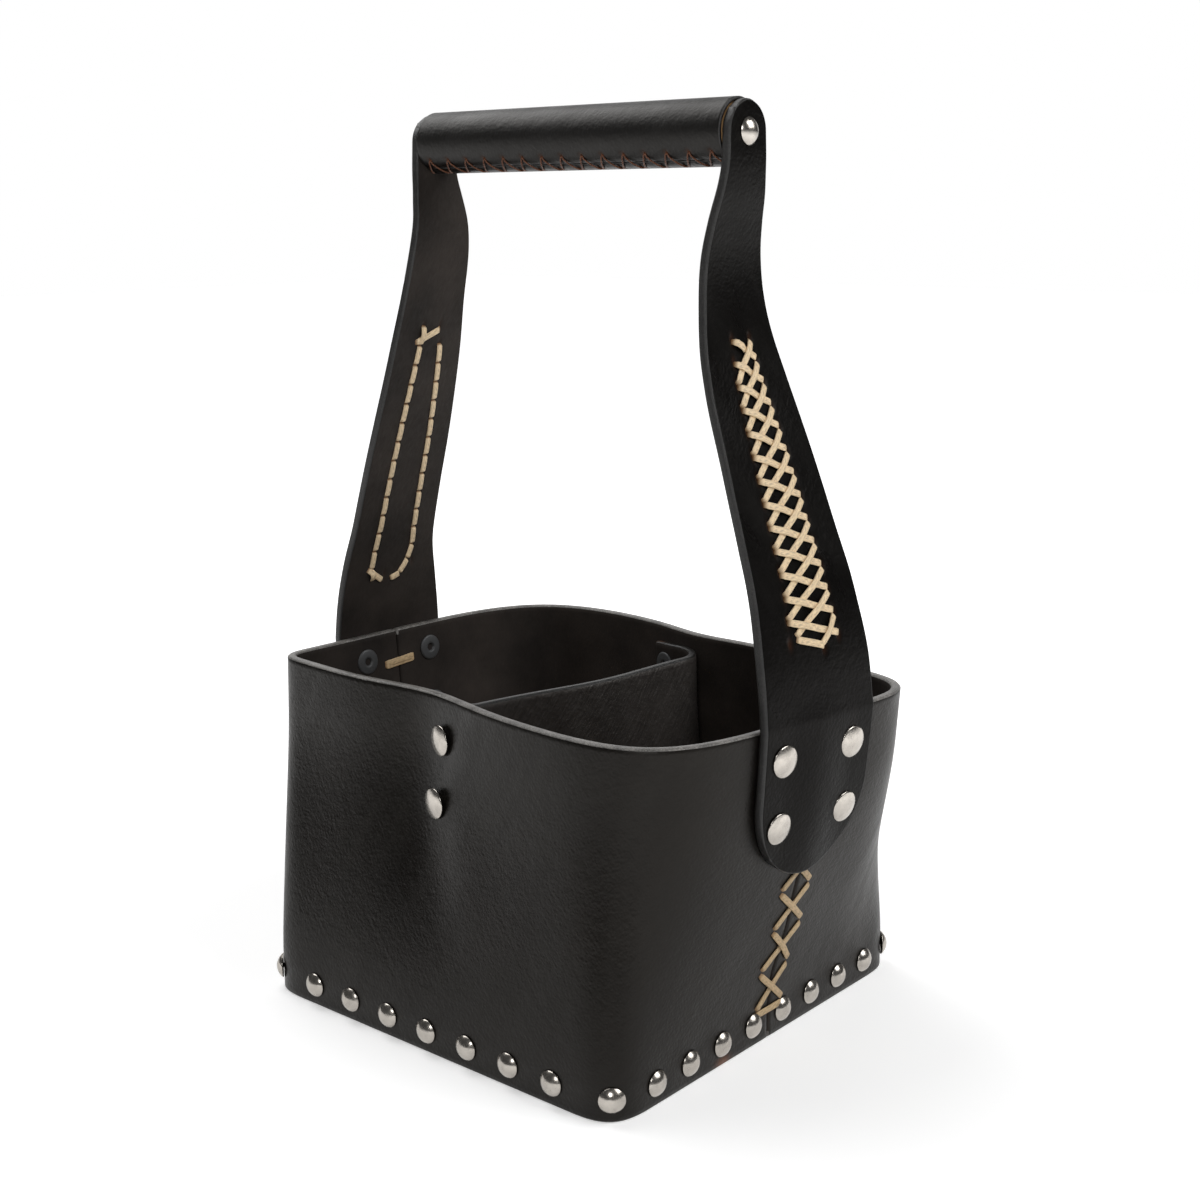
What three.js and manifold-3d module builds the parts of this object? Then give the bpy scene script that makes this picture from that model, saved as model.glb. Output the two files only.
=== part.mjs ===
// Leather mate bag: an open basket of two laced leather panels tacked to a wooden base board, with a
// riveted divider, two strap arms woven with lace, and a leather-wrapped grip that turns on two nails.
// Millimetres, +Z up, origin under the middle of the base, the grip along X, the front wall facing -Y.
import * as THREE from "three";
import { mergeVertices } from "three/addons/utils/BufferGeometryUtils.js";
import Module from "manifold-3d";

const wasm = await Module();
wasm.setup();
const { smoothstep, clamp, lerp, degToRad } = THREE.MathUtils;

// Fits and leather
const FIT = 0.3; // gap between pieces that touch
const PANEL_LEATHER = 4;
const STRAP_LEATHER = 4;
const DIVIDER_LEATHER = 3.5;
const WRAP_LEATHER = 1.5;

// Basket: a square foot that eases into a softer, slightly skewed rim
const BASE_LENGTH = 200;
const BASE_DEPTH = 199;
const BASE_CORNER = 16;
const BOARD_THICKNESS = 14;
const EASE_TOP = 120; // the walls bend from the base to here, and lean straight to the rim
const RIM_HEIGHT = 142;
const RIM_FRONT_LEFT = { x: -124, y: -67.5, r: 12 };
const RIM_FRONT_RIGHT = { x: 107, y: -86, r: 46 };
const RIM_REAR_RIGHT = { x: 129.8, y: 71.5, r: 28 };
const RIM_REAR_LEFT = { x: -117, y: 105, r: 56 };
const FRONT_PINCH = { x: -25, depth: 6.8, spread: 34 }; // the divider draws the walls in
const REAR_PINCH = { x: 1, depth: 4, spread: 22 };

// Divider, from the front wall to the rear wall, with a flange to the left at each end
const DIVIDER_FRONT_X = -5;
const DIVIDER_REAR_X = 7;
const DIVIDER_FRONT_BEND = 5;
const DIVIDER_REAR_BEND = 20;
const DIVIDER_FLANGE = 24;
const DIVIDER_SEAT = 0.7; // gap behind the flanges, which bridge the walls' curve
const DIVIDER_REAR_DROP = 8; // its top falls from the rim to this far below it
const DIVIDER_RIVET_HEIGHTS = [98, 124];
const DIVIDER_RIVET_SEAT = 0.9; // the flat caps bridge the hollow of the pinch

// Straps and grip
const GRIP_HEIGHT = 365;
const GRIP_LENGTH = 162;
const DOWEL_DIAMETER = 22;
const STRAP_FOOT_WIDTH = 62;
const STRAP_HEAD_WIDTH = 24;
const STRAP_TIP_HEIGHT = 78;
const STRAP_FOOT_ROUND = 35; // height of the half-oval that ends the foot
const STRAP_PAD = 2.6; // the foot stands off the wall this much over the seam lacing
const STRAP_PAD_INNER = 10;
const STRAP_PAD_OUTER = 12.8;
const STRAP_PAD_FADE = 28; // height over which the stand-off ends above the lacing
const STRAP_LOOSE = 0.5; // share of the way up by which it no longer follows the wall's curve
const STRAP_TOE = 0.09; // slope by which the rear edge stands further out than the front edge
const STRAP_RIVET_PITCH = 39;
const STRAP_RIVET_HEIGHTS = [102, 129.5];
// Share of the way up from the rim to the grip, against the share of the lean inwards
const STRAP_LEAN = {
  left: [[0, 0], [0.1, 0.03], [0.17, 0.08], [0.24, 0.19], [0.305, 0.295], [0.44, 0.526], [0.574, 0.742],
    [0.71, 0.93], [0.76, 1], [0.8, 1.045], [0.85, 1.07], [0.9, 1.035], [0.94, 1], [1, 1]],
  right: [[0, 0], [0.1, 0.07], [0.17, 0.154], [0.24, 0.26], [0.305, 0.39], [0.44, 0.66], [0.574, 0.94],
    [0.64, 1.055], [0.71, 1.128], [0.76, 1.15], [0.8, 1.143], [0.85, 1.1], [0.91, 1.026], [0.95, 1],
    [1, 1]],
};
// Share of the way up from the rim to the grip, against the share of the foot's extra width
const STRAP_TAPER = [[0, 1], [0.1, 0.93], [0.2, 0.81], [0.3, 0.77], [0.4, 0.74], [0.5, 0.665], [0.6, 0.545],
  [0.7, 0.38], [0.8, 0.27], [0.88, 0.145], [0.94, 0.03], [1, 0]];
// Shares of the way up at which the toe starts, is full, starts to fade and has gone
const STRAP_TOE_SPAN = [0, 0.25, 0.5, 0.85];

// Lacing
const LACE_WIDTH = 2.6;
const LACE_THICKNESS = 0.8;
const LACE_NECK = 1.5; // its width where it passes through a slit
const SLIT_LENGTH = 4.8;
const SLIT_WIDTH = 2.4;
const SLIT_SHIFT = 1.3; // each of the two passes in a slit lies this far from its middle
const LACE_LOW = 0.75; // middle of a strand that lies on the leather
const LACE_HIGH = 2; // middle of a strand that crosses over another
const LACE_MOUTH = 0.95; // middle of the lace where it turns into a slit
const LACE_FLAT = 0.1; // share of a strand, each way from a crossing, that keeps its height
const STRAP_LACE_ROWS = 14;
const STRAP_LACE_TOP = 286.5;
const STRAP_LACE_PITCH = 8.75;
const STRAP_LACE_INSET = 15.5; // from the edge of the strap to a column of slits
const STRAP_LACE_LAST = { y: 7, z: 167 }; // slit where the lace ends, below the last row
const SEAM_LEVELS = 7;
const SEAM_FIRST_LEVEL = 17.5;
const SEAM_PITCH = 18;
const SEAM_REACH = 9.3; // from the seam to a column of slits
const SIDE_REACH = 60; // straps and seams lie within this of the middle of a side wall

// Fasteners
const TACK_HEAD = 10.5;
const TACK_RISE = 3;
const TACK_SHANK = 2.2;
const TACK_LENGTH = 15;
const TACK_POINT = 3;
const TACK_SHOULDER = { radius: 0.76, rise: 0.68 }; // shares of the head at the turn of its dome
const TACK_HEIGHT = 9.5;
const FRONT_TACKS = 7;
const FRONT_TACK_END = 31.3; // from the corner of the base to the first tack
const SIDE_TACKS = 8;
const SIDE_TACK_END = 26;
const NAIL_LENGTH = 34;
const RIVET_CAP = 13;
const RIVET_CAP_RISE = 1.8;
const RIVET_SHOULDER = { radius: 0.8, rise: 0.75 };
const RIVET_POST = 5;
const RIVET_BACK = 9;
const RIVET_BACK_THICKNESS = 1.2;

// Facets
const PANEL_STEPS = 32;
const WALL_STEPS = 6;
const CORNER_STEPS = 12;
const FINE_STEPS = 12; // samples of a curve for each step that is kept
const FLANGE_STEPS = 5;
const BEND_STEPS = 4;
const RUN_STEPS = 4;
const STRAP_STEPS = 15;
const STRAP_FOOT_ROWS = [0.01, 0.06, 0.16, 0.45, 0.8]; // shares of the height of its half-oval
const STRAP_HEAD_ROWS = [30, 55, 75, 86]; // degrees up its half-circle
const STRAP_COLUMNS = { outer: 0.66, inner: 0.42 }; // shares of the half width where it is narrow
const LACE_TWIST = degToRad(24); // greatest twist from one section of a lace to the next
const FASTENER_SIDES = 8;
const SHANK_BORE_SIDES = 4;
const GRIP_SIDES = 24;

const blackLeather = new THREE.MeshStandardMaterial({ color: 0x2b2927, roughness: 0.5, metalness: 0 });
const strapLeather = new THREE.MeshStandardMaterial({ color: 0x1d1a18, roughness: 0.5, metalness: 0 });
const gripLeather = new THREE.MeshStandardMaterial({ color: 0x2b2a29, roughness: 0.45, metalness: 0 });
const creamLace = new THREE.MeshStandardMaterial({ color: 0xe3c896, roughness: 0.7, metalness: 0 });
const tanLace = new THREE.MeshStandardMaterial({ color: 0xbe9f6c, roughness: 0.7, metalness: 0 });
const nickel = new THREE.MeshStandardMaterial({ color: 0xc9c7c2, roughness: 0.25, metalness: 1 });
const wood = new THREE.MeshStandardMaterial({ color: 0xb98b56, roughness: 0.65, metalness: 0 });

const LATHE_AXIS = new THREE.Vector3(0, 1, 0);
const shares = (steps) => Array.from({ length: steps + 1 }, (_, k) => k / steps);
const bag = new THREE.Group();

// Solids and cuts

function toSolid(geometry) {
  const bare = geometry.clone();
  bare.deleteAttribute("normal");
  bare.deleteAttribute("uv");
  const merged = mergeVertices(bare, 1e-4);
  return new wasm.Manifold(new wasm.Mesh({
    numProp: 3,
    vertProperties: new Float32Array(merged.getAttribute("position").array),
    triVerts: new Uint32Array(merged.index.array),
  }));
}

function cut(geometry, tools) {
  const solid = tools.reduce((left, tool) => left.subtract(toSolid(tool)), toSolid(geometry));
  const mesh = solid.getMesh();
  const result = new THREE.BufferGeometry();
  result.setAttribute("position", new THREE.BufferAttribute(mesh.vertProperties, 3));
  result.setIndex(new THREE.BufferAttribute(mesh.triVerts, 1));
  return result;
}

// A geometry of points and triangles, with its faces turned outwards.
function closedGeometry(points, triangles) {
  let volume = 0;
  for (const [a, b, c] of triangles) {
    volume += points[a].dot(points[b].clone().cross(points[c]));
  }
  const outward = volume > 0 ? triangles : triangles.map(([a, b, c]) => [a, c, b]);
  const geometry = new THREE.BufferGeometry().setFromPoints(points);
  geometry.setIndex(outward.flat());
  return geometry;
}

// A sheet between two faces, each given as rows of as many points.
function sheetGeometry(faceRows, backRows) {
  const rows = faceRows.length;
  const columns = faceRows[0].length;
  const points = [...faceRows.flat(), ...backRows.flat()];
  const face = (row, column) => row * columns + column;
  const back = (row, column) => rows * columns + face(row, column);
  const triangles = [];
  const quad = (a, b, c, d) => triangles.push([a, b, c], [a, c, d]);
  for (let r = 0; r + 1 < rows; r += 1) {
    for (let c = 0; c + 1 < columns; c += 1) {
      quad(face(r, c), face(r, c + 1), face(r + 1, c + 1), face(r + 1, c));
      quad(back(r, c), back(r + 1, c), back(r + 1, c + 1), back(r, c + 1));
    }
    quad(face(r, 0), face(r + 1, 0), back(r + 1, 0), back(r, 0));
    quad(face(r, columns - 1), back(r, columns - 1), back(r + 1, columns - 1), face(r + 1, columns - 1));
  }
  for (let c = 0; c + 1 < columns; c += 1) {
    quad(face(0, c), back(0, c), back(0, c + 1), face(0, c + 1));
    quad(face(rows - 1, c), face(rows - 1, c + 1), back(rows - 1, c + 1), back(rows - 1, c));
  }
  return closedGeometry(points, triangles);
}

// Sections of a lace that turn it from one section to another in small steps.
function twistSections(from, to) {
  const steps = Math.max(Math.ceil(from.wide.angleTo(to.wide) / LACE_TWIST), 1);
  return shares(steps).slice(1, -1).map((share) => ({
    at: from.at.clone().lerp(to.at, share),
    wide: from.wide.clone().lerp(to.wide, share).normalize(),
    thick: from.thick.clone().lerp(to.thick, share).normalize(),
    width: lerp(from.width, to.width, share),
  }));
}

// Sections of a lace through stations, each with a middle, the normal of the leather beside it and a width.
function laceSections(stations) {
  const heading = (from, to) => to.at.clone().sub(from.at).normalize();
  const sections = [];
  stations.forEach((station, i) => {
    const before = stations[Math.max(i - 1, 0)];
    const after = stations[Math.min(i + 1, stations.length - 1)];
    const along = new THREE.Vector3();
    if (before !== station) along.add(heading(before, station));
    if (after !== station) along.add(heading(station, after));
    along.normalize();
    const thick = station.normal.clone().addScaledVector(along, -station.normal.dot(along)).normalize();
    const section = { at: station.at, wide: thick.clone().cross(along), thick, width: station.width };
    const last = sections[sections.length - 1];
    if (last && last.wide.dot(section.wide) < 0) {
      section.wide.negate();
      section.thick.negate();
    }
    if (last) sections.push(...twistSections(last, section));
    sections.push(section);
  });
  return sections;
}

// A flat lace with a closed end before its first station and after its last.
function laceGeometry(stations) {
  const sections = laceSections(stations);
  const points = sections.flatMap(({ at, wide, thick, width }) =>
    [[1, 1], [-1, 1], [-1, -1], [1, -1]].map(([w, t]) => at.clone()
      .addScaledVector(wide, (w * width) / 2)
      .addScaledVector(thick, (t * LACE_THICKNESS) / 2)));
  const triangles = [[0, 2, 1], [0, 3, 2]];
  for (let i = 0; i + 1 < sections.length; i += 1) {
    for (let k = 0; k < 4; k += 1) {
      const near = i * 4 + k;
      const next = i * 4 + ((k + 1) % 4);
      triangles.push([near, next, next + 4], [near, next + 4, near + 4]);
    }
  }
  const last = (sections.length - 1) * 4;
  triangles.push([last, last + 1, last + 2], [last, last + 2, last + 3]);
  return closedGeometry(points, triangles);
}

// A straight bore along a normal, from one depth to another, that clears a round of the radius.
function boreTool(point, normal, radius, from, to, sides) {
  const around = (radius + FIT) / Math.cos(Math.PI / sides);
  const tool = new THREE.CylinderGeometry(around, around, to - from, sides);
  tool.applyQuaternion(new THREE.Quaternion().setFromUnitVectors(LATHE_AXIS, normal));
  const middle = point.clone().addScaledVector(normal, (from + to) / 2);
  return tool.translate(middle.x, middle.y, middle.z);
}

function slitTool(frame, depth) {
  const tool = new THREE.BoxGeometry(SLIT_WIDTH, SLIT_LENGTH, 2 * depth);
  const turn = new THREE.Matrix4().makeBasis(frame.across, frame.along, frame.normal);
  return tool.applyMatrix4(turn.setPosition(frame.point));
}

function addPiece(name, geometry, material) {
  const mesh = new THREE.Mesh(geometry, material);
  mesh.name = name;
  bag.add(mesh);
  return mesh;
}

function addFastener(name, profile, point, normal) {
  const outline = profile.map(([radius, along]) => new THREE.Vector2(radius, along));
  const mesh = addPiece(name, new THREE.LatheGeometry(outline, FASTENER_SIDES), nickel);
  mesh.quaternion.setFromUnitVectors(LATHE_AXIS, normal);
  mesh.position.copy(point);
}

// A smooth curve through hand-chosen points, read as a height for each place along it.
function profileCurve(pairs) {
  const spline = new THREE.SplineCurve(pairs.map(([x, y]) => new THREE.Vector2(x, y)));
  const samples = spline.getPoints(pairs.length * FINE_STEPS);
  return (x) => {
    const after = samples.findIndex((sample) => sample.x >= x);
    if (after === 0) return samples[0].y;
    if (after < 0) return samples[samples.length - 1].y;
    const [a, b] = [samples[after - 1], samples[after]];
    return lerp(a.y, b.y, (x - a.x) / (b.x - a.x));
  };
}

// Outline of the walls

// Points of the round between two sides that meet at a corner.
function cornerArc(from, corner, to) {
  const point = new THREE.Vector2(corner.x, corner.y);
  const back = new THREE.Vector2(from.x, from.y).sub(point).normalize();
  const ahead = new THREE.Vector2(to.x, to.y).sub(point).normalize();
  const half = Math.acos(back.dot(ahead)) / 2;
  const centre = back.clone().add(ahead).setLength(corner.r / Math.sin(half)).add(point);
  const start = back.multiplyScalar(corner.r / Math.tan(half)).add(point).sub(centre);
  const turn = Math.PI - 2 * half;
  return shares(CORNER_STEPS).map((share) =>
    start.clone().rotateAround(new THREE.Vector2(), -turn * share).add(centre));
}

// Half of an outline, clockwise from one seam to the other, in equal steps of its length. A crease keeps
// the second corner three quarters of the way along.
function halfOutline(before, first, second, after, pinch, seamY, creased) {
  const crossing = (a, b) => new THREE.Vector2(lerp(a.x, b.x, (seamY - a.y) / (b.y - a.y)), seamY);
  const rough = new THREE.CurvePath();
  const corners = [crossing(before, first), ...cornerArc(before, first, second),
    ...cornerArc(first, second, after), crossing(second, after)];
  corners.slice(1).forEach((corner, i) => rough.add(new THREE.LineCurve(corners[i], corner)));
  const inward = Math.sign(-first.y);
  const pinched = rough.getSpacedPoints(PANEL_STEPS * FINE_STEPS).map(({ x, y }) => {
    const share = Math.exp(-(((x - pinch.x) / pinch.spread) ** 2));
    return new THREE.Vector2(x, y + inward * pinch.depth * share);
  });
  const spaced = (points, steps) => {
    const path = new THREE.CurvePath();
    points.slice(1).forEach((point, i) => path.add(new THREE.LineCurve(points[i], point)));
    return path.getSpacedPoints(steps);
  };
  if (!creased) return spaced(pinched, PANEL_STEPS);
  const away = pinched.map((point) => point.distanceTo(second));
  const crease = away.indexOf(Math.min(...away));
  const steps = (PANEL_STEPS * 3) / 4;
  return [...spaced(pinched.slice(0, crease + 1), steps),
    ...spaced(pinched.slice(crease), PANEL_STEPS - steps).slice(1)];
}

function outlineHalves(frontLeft, frontRight, rearRight, rearLeft, frontPinch, rearPinch) {
  return {
    front: halfOutline(rearRight, frontRight, frontLeft, rearLeft, frontPinch, -FIT / 2, true),
    rear: halfOutline(frontLeft, rearLeft, rearRight, frontRight, rearPinch, FIT / 2, false),
  };
}

const [halfLength, halfDepth] = [BASE_LENGTH / 2, BASE_DEPTH / 2];
const baseCorner = (x, y) => ({ x: x * halfLength, y: y * halfDepth, r: BASE_CORNER });
const flat = { x: 0, depth: 0, spread: 1 };
const baseHalves = outlineHalves(baseCorner(-1, -1), baseCorner(1, -1), baseCorner(1, 1),
  baseCorner(-1, 1), flat, flat);
const rimHalves = outlineHalves(RIM_FRONT_LEFT, RIM_FRONT_RIGHT, RIM_REAR_RIGHT, RIM_REAR_LEFT,
  FRONT_PINCH, REAR_PINCH);

const easeStep = (RIM_HEIGHT - BOARD_THICKNESS) / WALL_STEPS;
const easeLevels = shares(WALL_STEPS).map((share) => lerp(BOARD_THICKNESS, RIM_HEIGHT, share));
const wallLevels = [0, ...easeLevels];

// Share of the way from the base outline to the rim outline, half of it straight and half of it bent, and
// straight between the levels.
function easeAt(z) {
  const share = (level) => {
    const straight = (level - BOARD_THICKNESS) / (RIM_HEIGHT - BOARD_THICKNESS);
    return (straight + smoothstep(level, BOARD_THICKNESS, EASE_TOP)) / 2;
  };
  const step = clamp(Math.floor((z - BOARD_THICKNESS) / easeStep), 0, WALL_STEPS - 1);
  const part = clamp((z - easeLevels[step]) / easeStep, 0, 1);
  return lerp(share(easeLevels[step]), share(easeLevels[step + 1]), part);
}

// Half of the outline at a height, moved inwards by a depth.
function wallLine(half, z, depth = 0) {
  const ease = easeAt(z);
  const line = baseHalves[half].map((point, i) => point.clone().lerp(rimHalves[half][i], ease));
  return line.map((point, i) => {
    const ahead = line[Math.min(i + 1, line.length - 1)].clone();
    const side = ahead.sub(line[Math.max(i - 1, 0)]).normalize();
    return new THREE.Vector2(point.x + side.y * depth, point.y - side.x * depth);
  });
}

// Where a line crosses a value of one axis, read on the other axis.
function crossingOf(line, axis, value, keep) {
  const other = axis === "x" ? "y" : "x";
  for (let i = 0; i + 1 < line.length; i += 1) {
    const [a, b] = [line[i], line[i + 1]];
    const share = (value - a[axis]) / (b[axis] - a[axis]);
    if (share >= 0 && share <= 1 && keep(a)) return lerp(a[other], b[other], share);
  }
  throw new Error(`the wall has no point at ${axis} ${value}`);
}

// Outer face of the left (-1) or right (1) wall.
function sideWall(side, y, z) {
  const line = [...wallLine("rear", z), ...wallLine("front", z), wallLine("rear", z)[0]];
  const onSide = (point) => point.x * side > 0 && Math.abs(point.y) < SIDE_REACH;
  return new THREE.Vector3(crossingOf(line, "y", y, onSide), y, z);
}

// Outer face of the front (-1) or rear (1) wall.
function endWall(end, x, z, depth = 0) {
  const line = wallLine(end < 0 ? "front" : "rear", z, depth);
  return new THREE.Vector3(x, crossingOf(line, "x", x, () => true), z);
}

// Point, outward normal and directions of a surface at two coordinates.
function surfaceFrame(surface, u, z, outward) {
  const reach = 1;
  const across = surface(u + reach, z).sub(surface(u - reach, z)).normalize();
  const along = surface(u, z + reach).sub(surface(u, z - reach)).normalize();
  const normal = across.clone().cross(along).normalize();
  if (normal.dot(outward) < 0) normal.negate();
  across.copy(along).cross(normal).normalize();
  return { point: surface(u, z), normal, across, along };
}

const outwardX = (side) => new THREE.Vector3(side, 0, 0);
const outwardY = (end) => new THREE.Vector3(0, end, 0);
const sideFrame = (side, y, z) => surfaceFrame((u, h) => sideWall(side, u, h), y, z, outwardX(side));
const endFrame = (end, x, z) => surfaceFrame((u, h) => endWall(end, u, h), x, z, outwardY(end));

// Straps

const leanAt = { [-1]: profileCurve(STRAP_LEAN.left), 1: profileCurve(STRAP_LEAN.right) };
const taperAt = profileCurve(STRAP_TAPER);
const climb = (z) => clamp((z - RIM_HEIGHT) / (GRIP_HEIGHT - RIM_HEIGHT), 0, 1);
const footHalf = STRAP_FOOT_WIDTH / 2;
const headHalf = STRAP_HEAD_WIDTH / 2;
const footTop = STRAP_TIP_HEIGHT + STRAP_FOOT_ROUND;
const seamLevel = (level) => SEAM_FIRST_LEVEL + level * SEAM_PITCH;
const seamTop = seamLevel(SEAM_LEVELS - 1) + SLIT_LENGTH;

function strapHalfWidth(z) {
  if (z < footTop) return footHalf * Math.sqrt(1 - ((footTop - z) / STRAP_FOOT_ROUND) ** 2);
  if (z > GRIP_HEIGHT) return Math.sqrt(headHalf ** 2 - (z - GRIP_HEIGHT) ** 2);
  return lerp(headHalf, footHalf, taperAt(climb(z)));
}

// Inner face of a strap: on the wall below the rim, then leaning in to the end of the grip.
function strapBack(side, y, z) {
  const share = climb(z);
  const wall = sideWall(side, clamp(y, -footHalf, footHalf), z).x;
  const ridge = 1 - clamp((Math.abs(y) - STRAP_PAD_INNER) / (STRAP_PAD_OUTER - STRAP_PAD_INNER), 0, 1);
  const pad = STRAP_PAD * ridge * (1 - smoothstep(z, seamTop, seamTop + STRAP_PAD_FADE));
  const foot = wall + side * (FIT + pad);
  const middle = sideWall(side, 0, z).x + side * FIT;
  const head = side * (GRIP_LENGTH / 2 + FIT);
  const loosen = smoothstep(share, 0, STRAP_LOOSE);
  const [start, full, fade, end] = STRAP_TOE_SPAN;
  const toe = STRAP_TOE * smoothstep(share, start, full) * (1 - smoothstep(share, fade, end));
  const x = lerp(foot, middle, loosen) + (head - middle) * leanAt[side](share) + side * toe * y;
  return new THREE.Vector3(x, y, z);
}

const backFrame = (side, y, z) => surfaceFrame((u, h) => strapBack(side, u, h), y, z, outwardX(side));

function strapFrame(side, y, z) {
  const frame = backFrame(side, y, z);
  frame.point.addScaledVector(frame.normal, STRAP_LEATHER);
  return frame;
}

const footRows = STRAP_FOOT_ROWS.map((share) => STRAP_TIP_HEIGHT + share * STRAP_FOOT_ROUND);
const wallRows = wallLevels.filter((z) => z > STRAP_TIP_HEIGHT);
const freeRows = shares(STRAP_STEPS).map((share) => lerp(RIM_HEIGHT, GRIP_HEIGHT, share));
const headRows = STRAP_HEAD_ROWS.map((turn) => GRIP_HEIGHT + headHalf * Math.sin(degToRad(turn)));
const strapRows = [...new Set([...footRows, ...wallRows, footTop, ...freeRows, ...headRows])]
  .sort((a, b) => a - b);

function strapGeometry(side) {
  const faces = strapRows.map((z) => {
    const half = strapHalfWidth(z);
    const outer = Math.min(STRAP_PAD_OUTER, half * STRAP_COLUMNS.outer);
    const inner = Math.min(STRAP_PAD_INNER, half * STRAP_COLUMNS.inner);
    const columns = [-half, -outer, -inner, 0, inner, outer, half];
    const lean = backFrame(side, 0, z).normal;
    const backs = columns.map((y) => strapBack(side, y, z));
    return { backs, fronts: backs.map((point) => point.clone().addScaledVector(lean, STRAP_LEATHER)) };
  });
  return sheetGeometry(faces.map((row) => row.fronts), faces.map((row) => row.backs));
}

// Lacing

// Stations of a lace on a leather whose frames are read at a spot across and up: where it turns into a
// slit in front of the leather or behind it, and where it keeps its height over a crossing.
function weaver(frameOf, leather) {
  const between = (from, to, share, height) => {
    const { point, normal } = frameOf({ y: lerp(from.y, to.y, share), z: lerp(from.z, to.z, share) });
    return { at: point.clone().addScaledVector(normal, height), normal, width: LACE_WIDTH };
  };
  const mouth = (spot, shift, height) => {
    const { point, normal, along } = frameOf(spot);
    const at = point.clone().addScaledVector(along, shift).addScaledVector(normal, height);
    return { at, normal: normal.clone().multiplyScalar(Math.sign(height)), width: LACE_NECK };
  };
  return {
    front: (spot, shift) => mouth(spot, shift, LACE_MOUTH),
    behind: (spot, shift, height = LACE_MOUTH) => mouth(spot, shift, -leather - height),
    level: (from, to, crossing, height) => [crossing - LACE_FLAT, crossing + LACE_FLAT].map((share) =>
      between(from, to, share, height)),
  };
}

// Share of the way along one strand at which another strand crosses it.
function crossingShare([from, to], [start, end]) {
  const [y, z] = [to.y - from.y, to.z - from.z];
  const [otherY, otherZ] = [end.y - start.y, end.z - start.z];
  return ((start.y - from.y) * otherZ - (start.z - from.z) * otherY) / (y * otherZ - z * otherY);
}

// Slit of a row in the front (-1) or rear (1) column of a strap.
function strapPlace(column, row) {
  const z = STRAP_LACE_TOP - row * STRAP_LACE_PITCH;
  return { y: column * (strapHalfWidth(z) - STRAP_LACE_INSET), z };
}

const gentleStrand = (row) => [strapPlace(-1, row), strapPlace(1, row + 1)];
const steepStrand = (row) => [strapPlace(1, row), strapPlace(-1, row + 2)];

// One lace, woven down the strap. Each row's strand from the front column falls one row and each strand
// from the rear column falls two; between strands it climbs one row behind the strap.
function strapLaceStations(side) {
  const { front, behind, level } = weaver(({ y, z }) => strapFrame(side, y, z), STRAP_LEATHER);
  const strand = ([from, to], under, over) => [behind(from, -SLIT_SHIFT), front(from, -SLIT_SHIFT),
    ...level(from, to, crossingShare([from, to], under), LACE_HIGH),
    ...level(from, to, crossingShare([from, to], over), LACE_LOW),
    front(to, SLIT_SHIFT), behind(to, SLIT_SHIFT)];
  const stations = [];
  for (let row = 0; row + 1 < STRAP_LACE_ROWS; row += 1) {
    stations.push(...strand(gentleStrand(row), steepStrand(row - 1), steepStrand(row)));
    if (row + 2 < STRAP_LACE_ROWS) {
      stations.push(...strand(steepStrand(row), gentleStrand(row), gentleStrand(row + 1)));
    }
  }
  const lastRow = STRAP_LACE_ROWS - 2;
  const [from, to] = [strapPlace(1, lastRow), STRAP_LACE_LAST];
  stations.push(behind(from, -SLIT_SHIFT), front(from, -SLIT_SHIFT));
  stations.push(...level(from, to, crossingShare([from, to], gentleStrand(lastRow)), LACE_HIGH));
  stations.push(front(to, SLIT_SHIFT), behind(to, SLIT_SHIFT));
  return stations;
}

function strapSlits(side) {
  const rows = Array.from({ length: STRAP_LACE_ROWS }, (_, row) => row);
  const places = rows.flatMap((row) => [strapPlace(-1, row), strapPlace(1, row)]);
  places.push(STRAP_LACE_LAST);
  return places.map(({ y, z }) => slitTool(strapFrame(side, y, z), STRAP_LEATHER * 2));
}

// One lace that joins the panels: down the seam with strands over, along the foot, and up again with
// strands under them. Inside the wall the two bars of each level cross, the second one on the first.
function seamLaceStations(side) {
  const { front, behind, level } = weaver(({ y, z }) => sideFrame(side, y, z), PANEL_LEATHER);
  const place = (column, step) => ({ y: column * SEAM_REACH, z: seamLevel(step) });
  const stations = [];
  for (let step = SEAM_LEVELS - 1; step > 0; step -= 1) {
    const [from, to] = [place(-1, step), place(1, step - 1)];
    stations.push(behind(place(1, step), SLIT_SHIFT), behind(from, -SLIT_SHIFT), front(from, -SLIT_SHIFT));
    stations.push(...level(from, to, 1 / 2, LACE_HIGH), front(to, SLIT_SHIFT));
  }
  const [rearFoot, frontFoot] = [place(1, 0), place(-1, 0)];
  stations.push(behind(rearFoot, SLIT_SHIFT), behind(rearFoot, -SLIT_SHIFT), front(rearFoot, -SLIT_SHIFT));
  stations.push(front(frontFoot, -SLIT_SHIFT), behind(frontFoot, -SLIT_SHIFT));
  stations.push(behind(frontFoot, SLIT_SHIFT), front(frontFoot, SLIT_SHIFT));
  for (let step = 1; step < SEAM_LEVELS; step += 1) {
    const [from, to] = [place(-1, step - 1), place(1, step)];
    if (step > 1) stations.push(front(from, SLIT_SHIFT));
    stations.push(...level(from, to, 1 / 2, LACE_LOW), front(to, -SLIT_SHIFT));
    stations.push(behind(to, -SLIT_SHIFT, LACE_HIGH), behind(place(-1, step), SLIT_SHIFT, LACE_HIGH));
  }
  return stations;
}

function seamSlits(side) {
  const levels = Array.from({ length: SEAM_LEVELS }, (_, level) => level);
  return levels.flatMap((level) => [-1, 1].map((column) =>
    slitTool(sideFrame(side, column * SEAM_REACH, seamLevel(level)), PANEL_LEATHER * 2)));
}

// Fasteners

// Side of a domed head of the radius and rise, from its rim to its top, above a height.
const domeProfile = (radius, rise, shoulder, base) => [[radius, base],
  [radius * shoulder.radius, base + rise * shoulder.rise], [0, base + rise]];

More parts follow.
